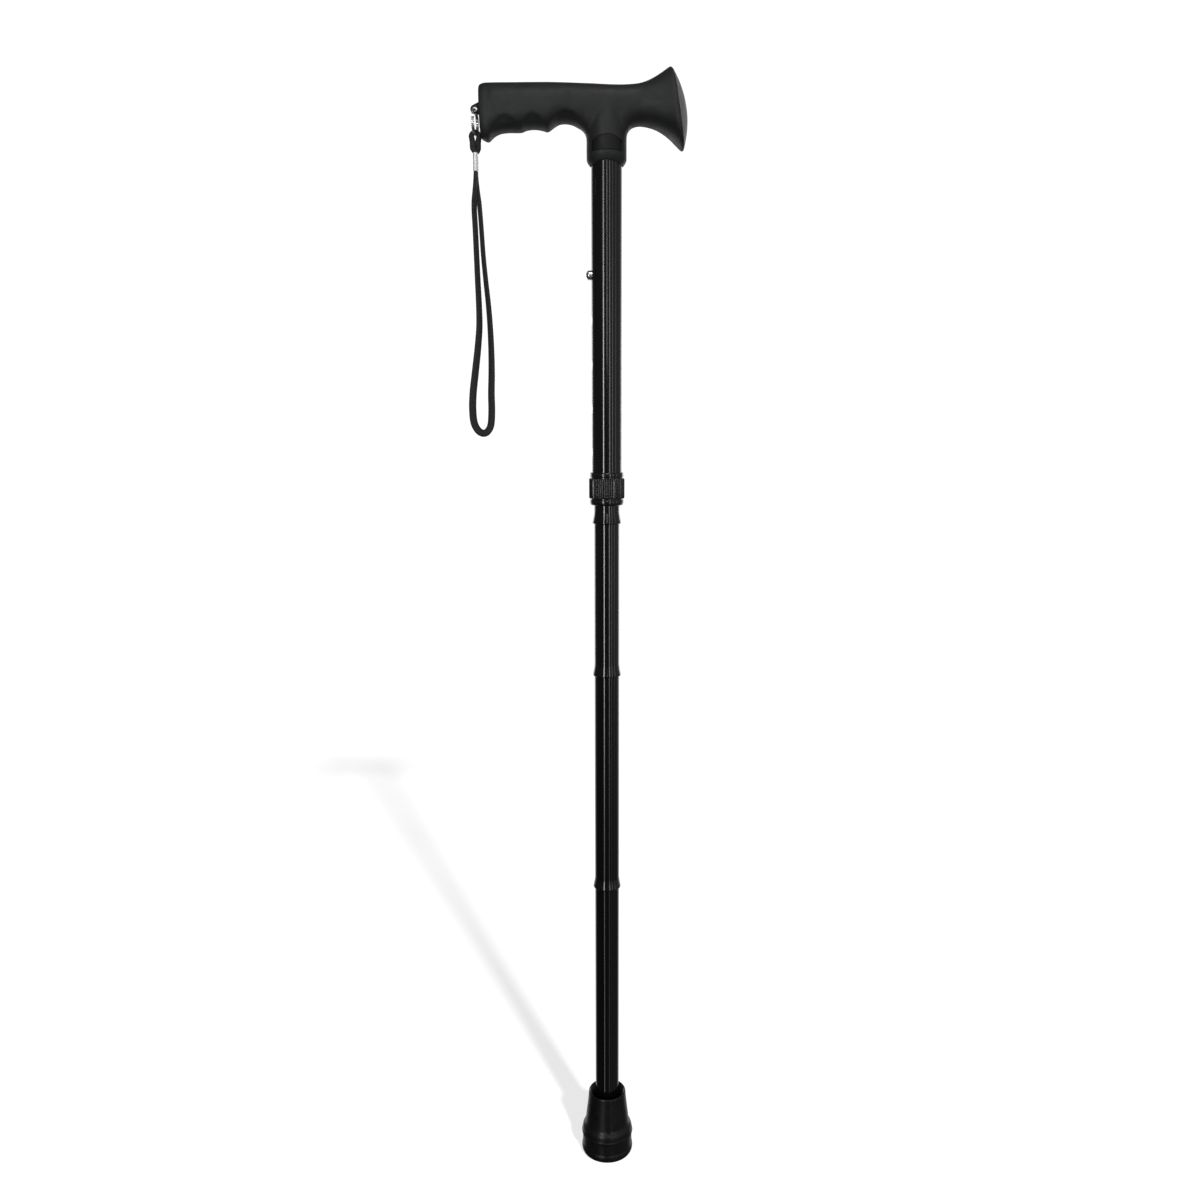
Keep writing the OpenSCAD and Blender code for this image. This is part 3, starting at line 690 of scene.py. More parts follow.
# Spigots with bullet noses, and the elastic cord through them
SECTION_OF_JOINT = {1: "second_section", 2: "third_section", 3: "foot_section"}
NOSE_STEPS = 5
SPIGOT_SIDES = 96
NOSE_SHARES = [(1, 0.42), (0.91, 0.6), (0.76, 0.8), (0.58, 0.96), (0.52, 1)]
for number, joint_z in JOINT_Z.items():
    nose = smooth_run([(NOSE_R * a, joint_z + NOSE_L * b) for a, b in NOSE_SHARES], NOSE_STEPS)
    grip_r = BORE_R - FIT_GAP
    profile = [(CORD_BORE_R, joint_z - SPIGOT_GRIP_L), (grip_r, joint_z - SPIGOT_GRIP_L)]
    profile += [(grip_r, joint_z + SEAT_H), (NOSE_R, joint_z + SEAT_H)]
    profile += [tuple(p) for p in nose] + [(CORD_BORE_R, joint_z + NOSE_L)]
    spigot = turned(f"spigot_{number}_turned", profile, SPIGOT_SIDES)
    place(spigot, SECTION_OF_JOINT[number], "bare_aluminium", f"spigot_{number}")

CORD_STEP = 0.0004
CORD_SIDES = 32
CORD_YARNS = 6
CORD_PITCH = 0.004


def cord_section(share, length, side):
    r = CORD_R - BRAID_DEPTH * (1 - braid(length, side, CORD_YARNS, CORD_PITCH))
    return r * math.cos(TAU * side), r * math.sin(TAU * side)


def cord_between(name, z_high, z_low):
    path = even_run([(0, 0, z_high), (0, 0, z_low)], CORD_STEP)
    return swept(name, path, cord_section, CORD_SIDES)


# Where the cord bends at a joint, as heights from the bell's mouth
BEND_END = -0.0105
BEND_PAST = 0.001
for number, joint_z in JOINT_Z.items():
    middle = joint_z + BEND_END - BEND_PAST
    bend = cord_between(f"cord_bend_{number}", joint_z + BEND_HALF_L, middle)
    stretch = cord_between(f"cord_stretch_{number}", middle, joint_z - BEND_HALF_L)
    for piece in (bend, stretch):
        piece.data.materials.append(elastic_cord)
    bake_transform(bend)
    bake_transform(stretch)
    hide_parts(f"cord_at_joint_{number}")

# Height lock
NUT_EDGES_MM = (
    (UPPER_BORE_R, NUT_Z, ((0, 0.4), (-0.4, 0))),
    (NUT_LIP_R, NUT_Z, ((1.5, 0), (0.8, 0.25), (0.3, 0.9), (0, 1.9))),
    (NUT_LIP_R, KNURL_Z, ((0, -1.2), (0.2, -0.8), (0.8, -0.7), (0.8, 0))),
    (NUT_R, KNURL_Z, ((0.7, 0, 0.4), (0.2, 0.3, 0.8), (0, 0.9, 1))),
    (NUT_R, LOCK_RING_Z, ((0, -1.2, 1), (0.2, -0.6, 0.8), (0.8, -0.2, 0.4))),
    (NUT_BORE_R, LOCK_RING_Z, ((0, -0.2),)),
    (NUT_BORE_R, KNURL_Z, ((0, 4),)),
    (UPPER_BORE_R, KNURL_Z, ((-0.9, -2.8), (0, -3.7))),
)
knurls = hollow_wave(KNURL_COUNT, KNURL_DEPTH, KNURL_HOLLOW_R)
nut_profile = outline(NUT_EDGES_MM, KNURL_DEPTH)
nut_sides = KNURL_COUNT * KNURL_STEPS
lock_nut = turned("lock_nut_knurled", nut_profile, nut_sides, wave=knurls, smooth_angle=LOCK_SHARP)
place(lock_nut, "lock", "lock_plastic", "lock_nut")

LOCK_PLAY = 0.00015
bush_bore_r = UPPER_R + FIT_GAP
ring_low = LOCK_RING_Z + LOCK_PLAY
ring_out_r = NUT_LIP_R - LOCK_PLAY
BUSH_EDGES_MM = (
    (bush_bore_r, UPPER_END_Z, ((0, 0),)),
    (BUSH_R, UPPER_END_Z, ((0, 0),)),
    (BUSH_R, ring_low, ((0, 0.4),)),
    (ring_out_r, ring_low, ((0.1, 0.4), (0, 0.6))),
    (ring_out_r, LOCK_TOP_Z, ((0, -0.9), (0.1, -0.3), (0.4, 0))),
    (bush_bore_r, LOCK_TOP_Z, ((-0.4, -0.4), (0, -0.8))),
)
lock_bush = turned("lock_bush_ring", outline(BUSH_EDGES_MM), TURNED_SIDES, smooth_angle=LOCK_SHARP)
place(lock_bush, "upper", "lock_plastic", "lock_bush")

DOME_SHARE = 0.62
DOME_STEPS = 16
BUTTON_SIDES = 64
tip = UPPER_R + BUTTON_PROUD
dome = BUTTON_PROUD * DOME_SHARE
dome_profile = [(BUTTON_R, SPRING_HALF)]
for k in range(DOME_STEPS):
    a = math.pi / 2 * k / DOME_STEPS
    dome_profile.append((BUTTON_R * math.cos(a), tip - dome + dome * math.sin(a)))
button = turned(
    "snap_button_dome", dome_profile, BUTTON_SIDES, False, smooth_angle=LOCK_SHARP, axis_z=BUTTON_Z
)
place(button, "button", "chrome", "snap_button")

# Snap spring: one bent leaf inside the inner tube, whose left leg goes in with the button
SPRING_W = 0.006
SPRING_T = 0.0007
SPRING_PLAY = 0.0001
SPRING_TOP_Z = 0.7208
SPRING_LOW_Z = 0.6788
SPRING_STEP = 0.0006
SPRING_SIDES = 24
SPRING_EDGE_POWER = 0.35
SPRING_BEND_SHARES = [(1, 1), (1, 0.7), (1, 0.4), (0.92, 0.28), (0.55, 0.16), (0.2, 0.06), (0, 0.02)]


def leaf_section(share, length, side):
    a = TAU * side
    across, through = (signed_power(c, SPRING_EDGE_POWER) for c in (math.cos(a), math.sin(a)))
    return SPRING_W / 2 * across, SPRING_T / 2 * through


leg_x = SPRING_HALF - SPRING_T / 2 - SPRING_PLAY
spring_h = SPRING_TOP_Z - SPRING_LOW_Z
left_leg = [(-leg_x * a, 0, SPRING_LOW_Z + spring_h * b) for a, b in SPRING_BEND_SHARES]
right_leg = [(-x, y, z) for x, y, z in left_leg[-2::-1]]
leaf_path = even_run(smooth_run(left_leg + right_leg, CURVE_STEPS), SPRING_STEP)
leaf = swept("snap_spring_leaf", leaf_path, leaf_section, SPRING_SIDES, ((0, 0, -1), (0, 0, 1)))
shade(leaf, LOCK_SHARP)
leaf.data.materials.append(steel)
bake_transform(leaf)
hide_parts("snap_spring")

# Foot: smooth outline with two beads, a dished top and ringed sole
FOOT_SHARES = [
    (0.6, 0), (0.84, 0.015), (0.97, 0.045), (1, 0.08), (0.96, 0.112), (0.9, 0.13), (0.88, 0.2), (0.88, 0.3),
    (0.9, 0.318), (0.985, 0.326), (1, 0.337), (0.99, 0.346), (0.94, 0.352), (0.92, 0.372), (0.885, 0.4),
    (0.84, 0.428), (0.73, 0.454), (0.6, 0.478), (0.51, 0.502), (0.45, 0.535), (0.29, 0.68), (0.08, 0.88),
    (0.01, 0.97), (-0.02, 1.005), (-0.09, 1.02),
]
FOOT_RIM_Z = FOOT_H * FOOT_SHARES[-1][1]
FOOT_BORE_R = LOWER_R + FIT_GAP
FOOT_RIM_MM = (
    (FOOT_TOP_R, FOOT_RIM_Z, ((0.9, -0.1),)),
    (FOOT_BORE_R, FOOT_RIM_Z, ((-3.6, -1.4), (-1.3, -4.2), (0, -6.5))),
)
FOOT_CENTRE_R = 0.0004
FOOT_STEPS = 4
FOOT_SHARP = 42
TREAD_SHARES = ((0.36, 0.44), (0.62, 0.7))
TREAD_H = 0.0015
foot_outline = smooth_run([(FOOT_TOP_R + FOOT_SPREAD * a, FOOT_H * b) for a, b in FOOT_SHARES], FOOT_STEPS)
foot_base_r = FOOT_TOP_R + FOOT_SPREAD
sole = [(FOOT_CENTRE_R, 0)]
for shares in TREAD_SHARES:
    inner, outer = (foot_base_r * s for s in shares)
    sole += [(inner, 0), (inner, TREAD_H), (outer, TREAD_H), (outer, 0)]
rim = outline(FOOT_RIM_MM) + [(FOOT_BORE_R, FOOT_SOLE_T), (FOOT_CENTRE_R, FOOT_SOLE_T)]
foot_profile = sole + [tuple(p) for p in foot_outline] + rim
foot = turned("rubber_foot_moulded", foot_profile, TURNED_SIDES, False, smooth_angle=FOOT_SHARP)
place(foot, "foot_section", "foot_rubber", "rubber_foot")

# Handle: one moulded form from fields that give the distance to the grip, the neck and the finger rests.
# Sections of the grip: x of the top and of the bottom as shares of the handle's length from its left end,
# rise of the top and drop of the bottom as shares of the grip's height, thickness as a share of its width
GRIP_SHARES = np.array([
    (0, 0.006, -0.012, 1.165, 0.9), (0.028, 0.028, -0.007, 1.183, 0.91),
    (0.043, 0.043, -0.004, 1.188, 0.92), (0.065, 0.065, -0.004, 1.108, 0.95),
    (0.095, 0.095, -0.004, 1.052, 0.96), (0.13, 0.13, -0.004, 1.032, 0.97),
    (0.18, 0.18, -0.004, 1.012, 0.98), (0.222, 0.222, -0.004, 0.97, 0.99),
    (0.266, 0.266, -0.004, 0.964, 1), (0.302, 0.302, -0.004, 0.972, 1), (0.328, 0.328, -0.004, 0.978, 1),
    (0.352, 0.352, -0.008, 0.922, 1), (0.38, 0.38, -0.012, 0.86, 0.99),
    (0.412, 0.412, -0.016, 0.85, 0.97), (0.446, 0.446, -0.022, 0.874, 0.96),
    (0.482, 0.482, -0.028, 0.932, 0.95), (0.54, 0.54, -0.038, 0.965, 0.935),
    (0.61, 0.61, -0.055, 0.975, 0.927), (0.68, 0.68, -0.062, 0.95, 0.935),
    (0.735, 0.735, -0.052, 0.892, 0.96), (0.772, 0.776, -0.03, 0.868, 1),
    (0.806, 0.826, 0.018, 0.907, 1.09), (0.842, 0.87, 0.097, 0.99, 1.18),
    (0.872, 0.912, 0.182, 1.12, 1.26), (0.898, 0.946, 0.262, 1.262, 1.35),
    (0.914, 0.972, 0.305, 1.378, 1.4), (0.921, 0.984, 0.308, 1.408, 1.4),
])
GRIP_POWER = 2.35
FIELD_STEP = 0.0008
FIELD_MARGIN = 0.003
AXIS_R = 0.0006
AXIS_SHARE = 0.05
FIELD_SIDE_SHARE = 0.7
FIELD_TOP_SHARE = 0.33
RELAX_ROUNDS = 3
RELAX_WEIGHTS = (0.5, -0.52)
END_ROUND = 0.0014
END_BEVEL_L = 0.0036
END_BEVEL_DEPTH = 0.0011
RIM_ROUND = 0.0028
NECK_ROUND_H = 0.0041
NECK_ROUND_IN = 0.0024
NECK_ROUND_POWER = 1.4
NECK_SIDE_DROP = 0.0018
NECK_ARCH_RISE = 0.0036
NECK_DRAFT = 0.2
NECK_DRAFT_REACH = 0.03
NECK_TOP_Z = 0.832
NECK_SHRINK_Z = 0.8225
NECK_SHRINK = 0.003
FILLET_FRONT = 0.0003
FILLET_TOP_Z = 0.824
FILLET_FADE = 0.012
FILLET_SIDE = 0.0075
FILLET_POWER = 3
# Finger rests: middle and half width as shares of the handle's length, and how deep they press in
FINGER_SHARES = ((0.126, 0.075), (0.262, 0.058), (0.418, 0.083))
FINGER_DEPTH = 0.0011
FINGER_RISE = math.radians(22)
FINGER_DROP = math.radians(30)
FINGER_SOFT = math.radians(20)


def smooth_step(x):
    x = np.clip(x, 0, 1)
    return x * x * (3 - 2 * x)


def smooth_min(a, b, k):
    """Union of two fields with a fillet of about k."""
    h = np.maximum(k - np.abs(a - b), 0) / k
    return np.minimum(a, b) - h * h * k / 4


def smooth_table(x, places, values):
    """Values of a smooth curve through a table at the places x."""
    run = np.array(smooth_run(list(zip(places, values)), CURVE_STEPS))
    return np.interp(x, run[:, 0], run[:, 1])


def grip_field(x, y, z):
    """Distance to the grip with its finger rests and cut ends, below 0 inside."""
    shares = GRIP_SHARES
    top = smooth_table(x, shares[:, 0] * HANDLE_L - HANDLE_LEFT, TOP_Z + shares[:, 2] * GRIP_H)
    bottom = smooth_table(x, shares[:, 1] * HANDLE_L - HANDLE_LEFT, TOP_Z - shares[:, 3] * GRIP_H)
    middle_x = (shares[:, 0] + shares[:, 1]) / 2 * HANDLE_L - HANDLE_LEFT
    half_w = smooth_table(x, middle_x, shares[:, 4] * GRIP_W / 2)
    centre, half_h = (top + bottom) / 2, (top - bottom) / 2
    draft = NECK_DRAFT * np.exp(-((x / NECK_DRAFT_REACH) ** 2))
    half_w = half_w * (1 + draft * np.clip((z - centre) / half_h, -1, 1))
    powers = np.abs(y / half_w) ** GRIP_POWER + np.abs((z - centre) / half_h) ** GRIP_POWER
    ratio = powers ** (1 / GRIP_POWER)
    away = np.hypot(y, z - centre)
    field = away - np.maximum(away, AXIS_R) / np.maximum(ratio, AXIS_SHARE)
    under = np.arctan2(centre - z, np.abs(y))
    for middle, half in FINGER_SHARES:
        u = np.clip((x + HANDLE_LEFT - middle * HANDLE_L) / (half * HANDLE_L), -1, 1)
        edge = FINGER_RISE + FINGER_DROP * u**2
        field = field + FINGER_DEPTH * (1 - u**2) * smooth_step((under - edge) / FINGER_SOFT)
    first, last = shares[0], shares[-1]
    for row, sign, rounding in ((first, -1, END_ROUND), (last, 1, RIM_ROUND)):
        up = np.array([(row[0] - row[1]) * HANDLE_L, (row[2] + row[3]) * GRIP_H])
        up = up / np.linalg.norm(up)
        at_x, at_z = row[0] * HANDLE_L - HANDLE_LEFT, TOP_Z + row[2] * GRIP_H
        beyond = sign * ((x - at_x) * up[1] - (z - at_z) * up[0])
        if sign < 0:
            field = field + END_BEVEL_DEPTH * np.clip(1 + beyond / END_BEVEL_L, 0, 1)
        field = -smooth_min(-field, -beyond, rounding)
    return field


def neck_field(x, y, z):
    """Distance to the neck with its arched lower rim, below 0 inside."""
    rim_z = NECK_Z - NECK_SIDE_DROP + NECK_ARCH_RISE * np.clip(y / NECK_R, -1, 1) ** 2
    low = np.clip((z - rim_z) / NECK_ROUND_H, 0, 1)
    high = np.clip((z - NECK_SHRINK_Z) / (NECK_TOP_Z - NECK_SHRINK_Z), 0, 1)
    radius = NECK_R - NECK_ROUND_IN * (1 - low) ** NECK_ROUND_POWER - NECK_SHRINK * (high + high**2)
    field = np.hypot(x, y) - radius
    return np.maximum(np.maximum(field, rim_z - z), z - NECK_TOP_Z)


def surface_net(field, origin, step):
    """Points and quads of the field's zero surface, one point in each cell that the surface crosses."""
    cells = np.array(field.shape) - 1
    total, crossings = np.zeros((*cells, 3)), np.zeros(cells)
    corner = [slice(0, -1), slice(1, None)]
    for axis in range(3):
        others = [k for k in range(3) if k != axis]
        for i in (0, 1):
            for j in (0, 1):
                low = [None, None, None]
                low[axis], low[others[0]], low[others[1]] = corner[0], corner[i], corner[j]
                high = list(low)
                high[axis] = corner[1]
                a, b = field[tuple(low)], field[tuple(high)]
                crossed = (a < 0) != (b < 0)
                crossings += crossed
                total[..., axis] += np.where(crossed, a / np.where(crossed, a - b, 1), 0)
                total[..., others[0]] += crossed * i
                total[..., others[1]] += crossed * j
    used = crossings > 0
    index = np.full(cells, -1)
    index[used] = np.arange(used.sum())
    points = (np.argwhere(used) + total[used] / crossings[used][:, None]) * step + origin
    faces = []
    for axis in range(3):
        b, c = (axis + 1) % 3, (axis + 2) % 3
        low = [slice(1, -1)] * 3
        low[axis] = slice(0, -1)
        high = list(low)
        high[axis] = slice(1, None)
        inside, beyond = field[tuple(low)] < 0, field[tuple(high)] < 0
        places = np.argwhere(inside != beyond)
        rising = inside[tuple(places.T)]
        places = places + np.array([0 if k == axis else 1 for k in range(3)])
        back_b, back_c = np.eye(3, dtype=int)[b], np.eye(3, dtype=int)[c]
        around = [places - back_b - back_c, places - back_c, places, places - back_b]
        quads = np.stack([index[tuple(p.T)] for p in around], axis=1)
        quads[~rising] = quads[~rising][:, ::-1]
        faces.append(quads)
    return points, np.concatenate(faces)


def relaxed(points, faces, rounds):
    """Points moved towards the middle of their neighbours and back, which smooths without shrinking."""
    sides = np.concatenate([faces[:, [k, (k + 1) % 4]] for k in range(4)])
    edges = np.unique(np.sort(sides, axis=1), axis=0)
    count = np.bincount(edges.ravel(), minlength=len(points))[:, None]
    for k in range(rounds):
        for weight in RELAX_WEIGHTS:
            near = np.zeros_like(points)
            np.add.at(near, edges[:, 0], points[edges[:, 1]])
            np.add.at(near, edges[:, 1], points[edges[:, 0]])
            points = points + weight * (near / count - points)
    return points


field_side = GRIP_W * FIELD_SIDE_SHARE
field_top = TOP_Z + GRIP_H * FIELD_TOP_SHARE
field_low = np.array([-HANDLE_LEFT, -field_side, NECK_Z - NECK_SIDE_DROP]) - FIELD_MARGIN
field_high = np.array([HANDLE_L - HANDLE_LEFT, field_side, field_top]) + FIELD_MARGIN
axes = [np.arange(a, b, FIELD_STEP) for a, b in zip(field_low, field_high)]
gx, gy, gz = np.meshgrid(*axes, indexing="ij")
fillet_share = smooth_step(np.abs(gx) / NECK_R) ** FILLET_POWER
fillet_share = fillet_share * smooth_step((FILLET_TOP_Z - gz) / FILLET_FADE)
fillet = FILLET_FRONT + (FILLET_SIDE - FILLET_FRONT) * fillet_share
handle_field = smooth_min(grip_field(gx, gy, gz), neck_field(gx, gy, gz), fillet)
handle_points, handle_faces = surface_net(handle_field, field_low, FIELD_STEP)
handle_points = relaxed(handle_points, handle_faces, RELAX_ROUNDS)
grip = add_mesh("handle_grip_moulded", handle_points, [tuple(int(i) for i in f) for f in handle_faces])

# Neck panel: an arched plate let into the front of the neck
BADGE_W = NECK_R * 1.4
BADGE_ARCH_R = BADGE_W * 0.85
BADGE_LOW_Z = NECK_Z + NECK_RISE * 0.32
BADGE_TOP_Z = NECK_Z + NECK_RISE * 0.785
BADGE_GAP = 0.0005
BADGE_T = 0.0008
BADGE_COLUMNS = 32
BADGE_ROWS = 24
BADGE_SOFT = 0.0002
BADGE_SUNK = 0.0001
BADGE_SEAT_SHARE = 0.95
POCKET_OUT = 0.002
POCKET_SOFT = 0.0001


def badge_grid(grow):
    """Places (x, z) over the arched panel, columns from left to right and rows from foot to arch."""
    half = BADGE_W / 2 + grow
    low_z = BADGE_LOW_Z - grow
    rows = []
    for c in range(BADGE_COLUMNS + 1):
        x = half * (2 * c / BADGE_COLUMNS - 1)
        top_z = BADGE_TOP_Z + grow - BADGE_ARCH_R + math.sqrt(BADGE_ARCH_R**2 - x**2)
        rows.append([(x, low_z + (top_z - low_z) * r / BADGE_ROWS) for r in range(BADGE_ROWS + 1)])
    return rows


def badge_border():
    """Grid places round the panel's edge, anticlockwise from its lower left corner."""
    across, up = range(BADGE_COLUMNS), range(BADGE_ROWS)
    edge = [(c, 0) for c in across] + [(BADGE_COLUMNS, r) for r in up]
    edge += [(BADGE_COLUMNS - c, BADGE_ROWS) for c in across] + [(0, BADGE_ROWS - r) for r in up]
    return edge


def badge_plate(name, grow, r_in, r_out, soft):
    """Curved plate between two radii with an arched top and its front edge chamfered by soft."""
    front, full = badge_grid(grow - soft), badge_grid(grow)
    border = badge_border()
    points = [(x, -math.sqrt(r_out**2 - x**2), z) for column in front for x, z in column]
    height = BADGE_ROWS + 1
    faces = []
    for c in range(BADGE_COLUMNS):
        for r in range(BADGE_ROWS):
            a = c * height + r
            faces.append((a, a + height, a + height + 1, a + 1))
    loops = [[c * height + r for c, r in border]]
    for radius in (r_out - soft, r_in):
        loops.append([len(points) + k for k in range(len(border))])
        edge = [full[c][r] for c, r in border]
        points += [(x, -math.sqrt(radius**2 - x**2), z) for x, z in edge]
    for near, far in zip(loops, loops[1:]):
        for k in range(len(border)):
            m = (k + 1) % len(border)
            faces.append((near[m], near[k], far[k], far[m]))
    faces.append(tuple(loops[-1][::-1]))
    return add_mesh(name, points, faces, LOCK_SHARP)


pocket = badge_plate("pocket", BADGE_GAP, NECK_R - BADGE_T, NECK_R + POCKET_OUT, POCKET_SOFT)
cut(grip, pocket)
shade(grip, SOFT_SHARP)
place(grip, "upper", "grip_rubber", "handle_grip")
badge_back_r = NECK_R - BADGE_T * BADGE_SEAT_SHARE
badge = badge_plate("neck_panel", 0, badge_back_r, NECK_R - BADGE_SUNK, BADGE_SOFT)
place(badge, "upper", "badge_plastic", "neck_badge")

# End pad: a shallow dome of grainy rubber on the flared end
PAD_RINGS = 16
PAD_SIDES = 96
PAD_SUNK = 0.0004
PAD_TIP_SHARE = 0.02
PAD_POWER = 1.5
last_row = GRIP_SHARES[-1]
pad_top = np.array([last_row[0] * HANDLE_L - HANDLE_LEFT, 0, TOP_Z + last_row[2] * GRIP_H])
pad_foot = np.array([last_row[1] * HANDLE_L - HANDLE_LEFT, 0, TOP_Z - last_row[3] * GRIP_H])
pad_middle, pad_up = (pad_top + pad_foot) / 2, (pad_top - pad_foot) / 2 * PAD_COVER_SHARE
pad_across = np.array([0, last_row[4] * GRIP_W / 2 * PAD_COVER_SHARE, 0])
pad_out = np.cross(pad_across, pad_up)
pad_out = pad_out / np.linalg.norm(pad_out)
pad_points = []
for k in range(PAD_RINGS + 1):
    scale = max(PAD_TIP_SHARE, 1 - ((k - 1) / (PAD_RINGS - 1)) ** PAD_POWER) if k else 1
    rise = PAD_BULGE * (1 - scale**2) if k else -PAD_SUNK
    for i in range(PAD_SIDES):
        a = TAU * i / PAD_SIDES
        across, up = (signed_power(c, 2 / GRIP_POWER) for c in (math.cos(a), math.sin(a)))
        offset = pad_across * across + pad_up * up
        pad_points.append(pad_middle + offset * scale + pad_out * rise)
pad = add_mesh("end_pad_dome", pad_points, ring_faces(PAD_RINGS + 1, PAD_SIDES, False), SOFT_SHARP)
place(pad, "upper", "pad_rubber", "end_pad")

# Lug at the handle's end, with rounded edges
LUG_T = 0.0035
LUG_HOLE_R = 0.0018
LUG_TIP_R = 0.003
LUG_ROOT_UP = 0.006
LUG_ROOT_DOWN = 0.00345
LUG_ROOT_IN = 0.002
LUG_SOFT = 0.0005
LUG_SOFT_STEPS = 3
LUG_HOLE_SIDES = 48
TIP_STEPS = 24
TIP_START_SHARE = 0.62
TIP_SPAN_SHARE = 0.86
lug_root_x = -HANDLE_LEFT + LUG_ROOT_IN - LUG_X
lug_outline = [(lug_root_x, -LUG_ROOT_DOWN), (lug_root_x, LUG_ROOT_UP)]
for k in range(TIP_STEPS + 1):
    a = math.pi * (TIP_START_SHARE + TIP_SPAN_SHARE * k / TIP_STEPS)
    lug_outline.append((LUG_TIP_R * math.cos(a), LUG_TIP_R * math.sin(a)))
lug_points = [(LUG_X + x, y, LUG_Z + z) for y in (-LUG_T / 2, LUG_T / 2) for x, z in lug_outline]
lug = add_mesh("strap_lug_moulded", lug_points, ring_faces(2, len(lug_outline), False))
lug_hole = turned("hole", [(LUG_HOLE_R, -LUG_T), (LUG_HOLE_R, LUG_T)], LUG_HOLE_SIDES, False)
lug_hole.data.transform(Matrix.Rotation(math.pi / 2, 4, "X"))
lug_hole.data.transform(Matrix.Translation((LUG_X, 0, LUG_Z)))
cut(lug, lug_hole)
lug_bevel = lug.modifiers.new("soft edges", "BEVEL")
lug_bevel.width = LUG_SOFT
lug_bevel.segments = LUG_SOFT_STEPS
lug_bevel.limit_method = "ANGLE"
lug_bevel.angle_limit = math.radians(LOCK_SHARP)
shade(lug, SOFT_SHARP)
place(lug, "upper", "lug_plastic", "strap_lug")

# Floor: white paper that shows its shadows to the camera and sends no light back to the object
FLOOR_HALF = 12
FLOOR_GLOW = 0.78
floor_points = [(x, y, 0) for y in (-FLOOR_HALF, FLOOR_HALF) for x in (-FLOOR_HALF, FLOOR_HALF)]
floor = add_mesh("floor", floor_points, [(0, 1, 3, 2)])
floor_paint = material(
    "floor_paint", (0.05, 0.05, 0.05), 0.95,
    Specular_IOR_Level=0, Emission_Color=(1, 1, 1, 1), Emission_Strength=FLOOR_GLOW,
)
floor.data.materials.append(floor_paint)
floor.visible_diffuse = False
floor.visible_glossy = False
floor.visible_shadow = False

# Lights


def add_lamp(name, data, place_at, aim):
    lamp = bpy.data.objects.new(name, data)
    lamp.location = place_at
    lamp.rotation_euler = (Vector(aim) - Vector(place_at)).to_track_quat("-Z", "Y").to_euler()
    bpy.context.scene.collection.objects.link(lamp)
    return lamp


def soft_light(name, place_at, aim, size, power):
    data = bpy.data.lights.new(name, "AREA")
    data.shape = "RECTANGLE"
    data.size, data.size_y = size
    data.energy = power
    return add_lamp(name, data, place_at, aim)


# Tall panels round the camera, seen as upright lines in the tubes, and two behind: angle from the camera,
# width, and power to the metre. Each fades towards its ends: place up the panel and share of its light
PANEL_AWAY = 1.9
PANEL_LOW_Z = -1.4
PANEL_HIGH_Z = 1.6
PANEL_FADES = ((0.2, 0.14), (0.34, 0.18), (0.56, 1), (0.72, 1), (0.85, 0.5))
PANELS = (
    (-25, 0.2, 8.5), (22.5, 0.15, 2.6), (45, 0.16, 1.1), (72, 0.3, 0.7),
    (148, 0.24, 3.4), (-148, 0.24, 3.4),
)
panel_middle = (PANEL_LOW_Z + PANEL_HIGH_Z) / 2
panel_tall = PANEL_HIGH_Z - PANEL_LOW_Z
for number, (degrees, width, power) in enumerate(PANELS):
    turn = math.radians(degrees)
    panel_place = (PANEL_AWAY * math.sin(turn), -PANEL_AWAY * math.cos(turn), panel_middle)
    aim, size = (0, 0, panel_middle), (width, panel_tall)
    panel = soft_light(f"panel_{number}", panel_place, aim, size, power * panel_tall)
    panel.data.use_nodes = True
    glow = panel.data.node_tree
    surface = glow.nodes.new("ShaderNodeNewGeometry")
    split = glow.nodes.new("ShaderNodeSeparateXYZ")
    fade = glow.nodes.new("ShaderNodeValToRGB")
    stops = fade.color_ramp.elements
    stops[0].position, stops[1].position = PANEL_FADES[0][0], PANEL_FADES[-1][0]
    for at, share in PANEL_FADES[1:-1]:
        stops.new(at)
    for stop, (at, share) in zip(stops, PANEL_FADES):
        stop.color = (share, share, share, 1)
    glow.links.new(surface.outputs["Parametric"], split.inputs["Vector"])
    glow.links.new(split.outputs["Y"], fade.inputs["Fac"])
    glow.links.new(fade.outputs["Color"], glow.nodes["Emission"].inputs["Strength"])

# A narrow strip high in front and a box over the camera: place, aim, size and power
FRONT_LIGHTS = {
    "front_strip": ((0.06, -PANEL_AWAY, 1.2), (0, 0, 1.2), (0.12, 0.9), 1.5),
    "front_top_box": ((0.1, -1.1, 2), (0, 0, 0.8), (0.8, 0.5), 8),
}
for name, values in FRONT_LIGHTS.items():
    soft_light(name, *values)

# A lamp for the floor alone, which throws the soft shadow towards the back left
SHADOW_FROM = (0.42, -1.03, 0.84)
SHADOW_SOFT = math.radians(3.4)
SHADOW_POWER = 26
floor_only = bpy.data.collections.new("floor_only")
floor_only.objects.link(floor)
shadow_data = bpy.data.lights.new("shadow_lamp", "SUN")
shadow_data.angle = SHADOW_SOFT
shadow_data.energy = SHADOW_POWER
shadow_lamp = add_lamp("shadow_lamp", shadow_data, SHADOW_FROM, (0, 0, 0))
shadow_lamp.light_linking.receiver_collection = floor_only

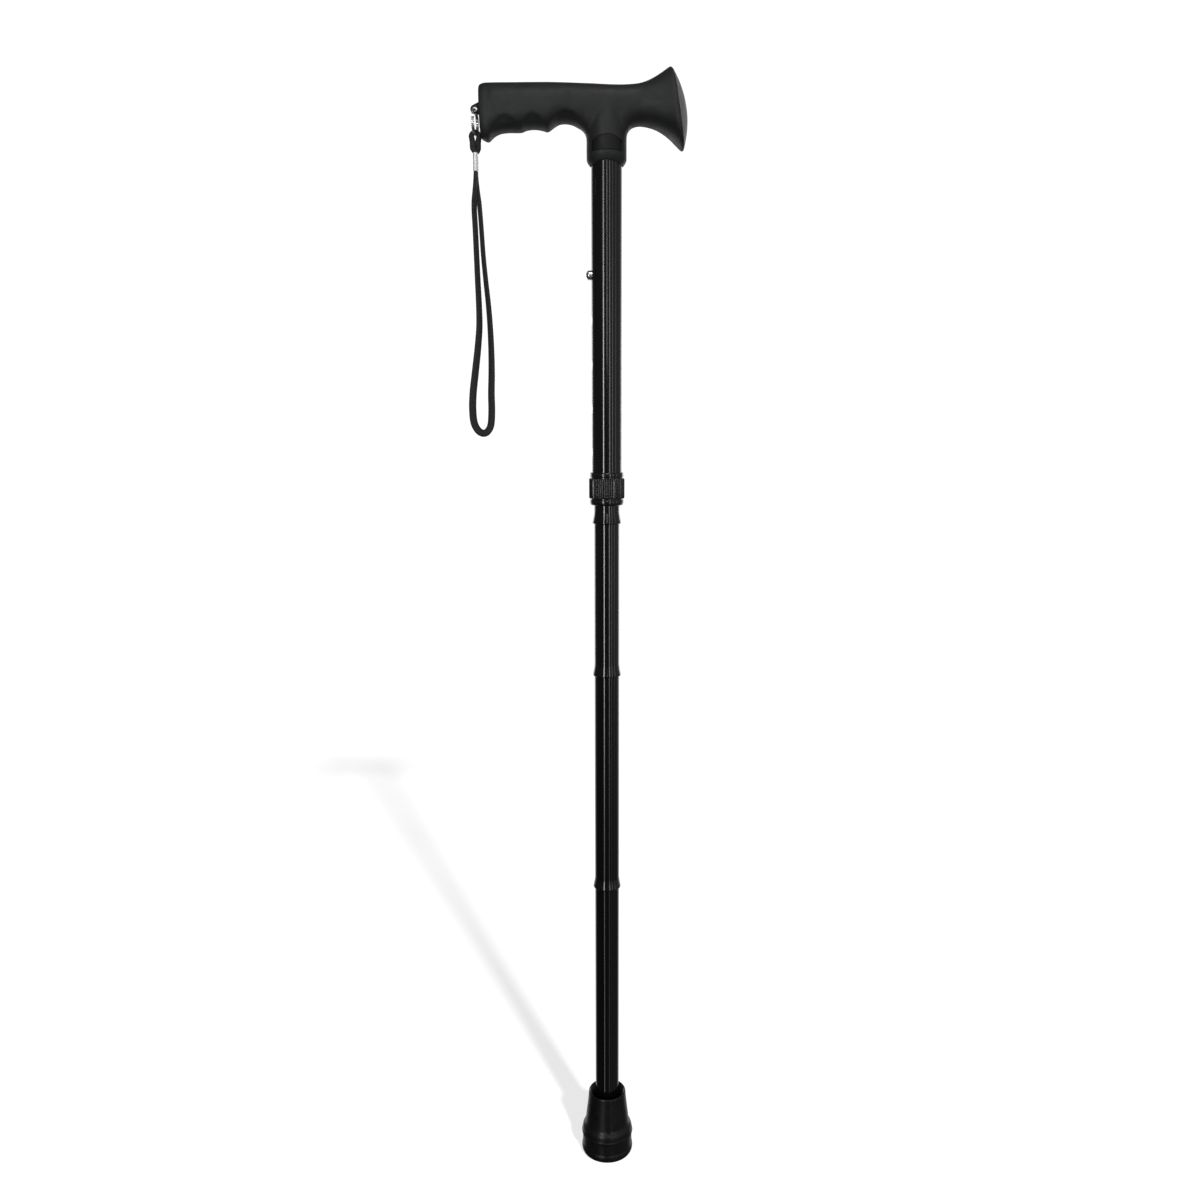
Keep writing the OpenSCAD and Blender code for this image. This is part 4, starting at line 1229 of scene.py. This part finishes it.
# Surroundings: white for the camera, and for the object dim all round with a brighter part behind it
BACKDROP = 1.05
BACK_LIGHT = 0.55
LEFT_LIGHT = 0.09
RIGHT_LIGHT = 0.28
LOW_LIGHT_SHARE = 0.3
# Where each change begins and ends, along a ray of length 1
BACK_SPAN = (math.cos(math.radians(60)), math.cos(math.radians(40)))
SIDE_SPAN = (-0.2, 0.8)
LOW_SPAN = (-0.38, -0.1)
world = bpy.data.worlds.new("studio")
world.use_nodes = True
sky = world.node_tree
sky_background = sky.nodes["Background"]
sky_background.inputs["Color"].default_value = (1, 1, 1, 1)
sky_place = sky.nodes.new("ShaderNodeTexCoord")
sky_turn = sky.nodes.new("ShaderNodeMapping")
sky_turn.inputs["Rotation"].default_value = (math.radians(CAMERA_PITCH), 0, 0)
sky_split = sky.nodes.new("ShaderNodeSeparateXYZ")
sky_fall = map_range(sky, *BACK_SPAN, 0, BACK_LIGHT, "SMOOTHSTEP")
sky_side = map_range(sky, *SIDE_SPAN, LEFT_LIGHT, RIGHT_LIGHT)
sky_low = map_range(sky, *LOW_SPAN, LOW_LIGHT_SHARE, 1, "SMOOTHSTEP")
sky_lower = sky.nodes.new("ShaderNodeMath")
sky_lower.operation = "MULTIPLY"
sky_rays = sky.nodes.new("ShaderNodeLightPath")
sky_seen = map_range(sky, 0, 1, 0, BACKDROP)
for start, end in (
    (sky_place.outputs["Generated"], sky_turn.inputs["Vector"]),
    (sky_turn.outputs["Vector"], sky_split.inputs["Vector"]),
    (sky_split.outputs["Y"], sky_fall.inputs["Value"]),
    (sky_split.outputs["X"], sky_side.inputs["Value"]),
    (sky_split.outputs["Z"], sky_low.inputs["Value"]),
    (sky_side.outputs["Result"], sky_lower.inputs[0]),
    (sky_low.outputs["Result"], sky_lower.inputs[1]),
    (sky_lower.outputs["Value"], sky_fall.inputs["To Min"]),
    (sky_rays.outputs["Is Camera Ray"], sky_seen.inputs["Value"]),
    (sky_fall.outputs["Result"], sky_seen.inputs["To Min"]),
    (sky_seen.outputs["Result"], sky_background.inputs["Strength"]),
):
    sky.links.new(start, end)
bpy.context.scene.world = world
bpy.context.scene.view_settings.view_transform = "Standard"
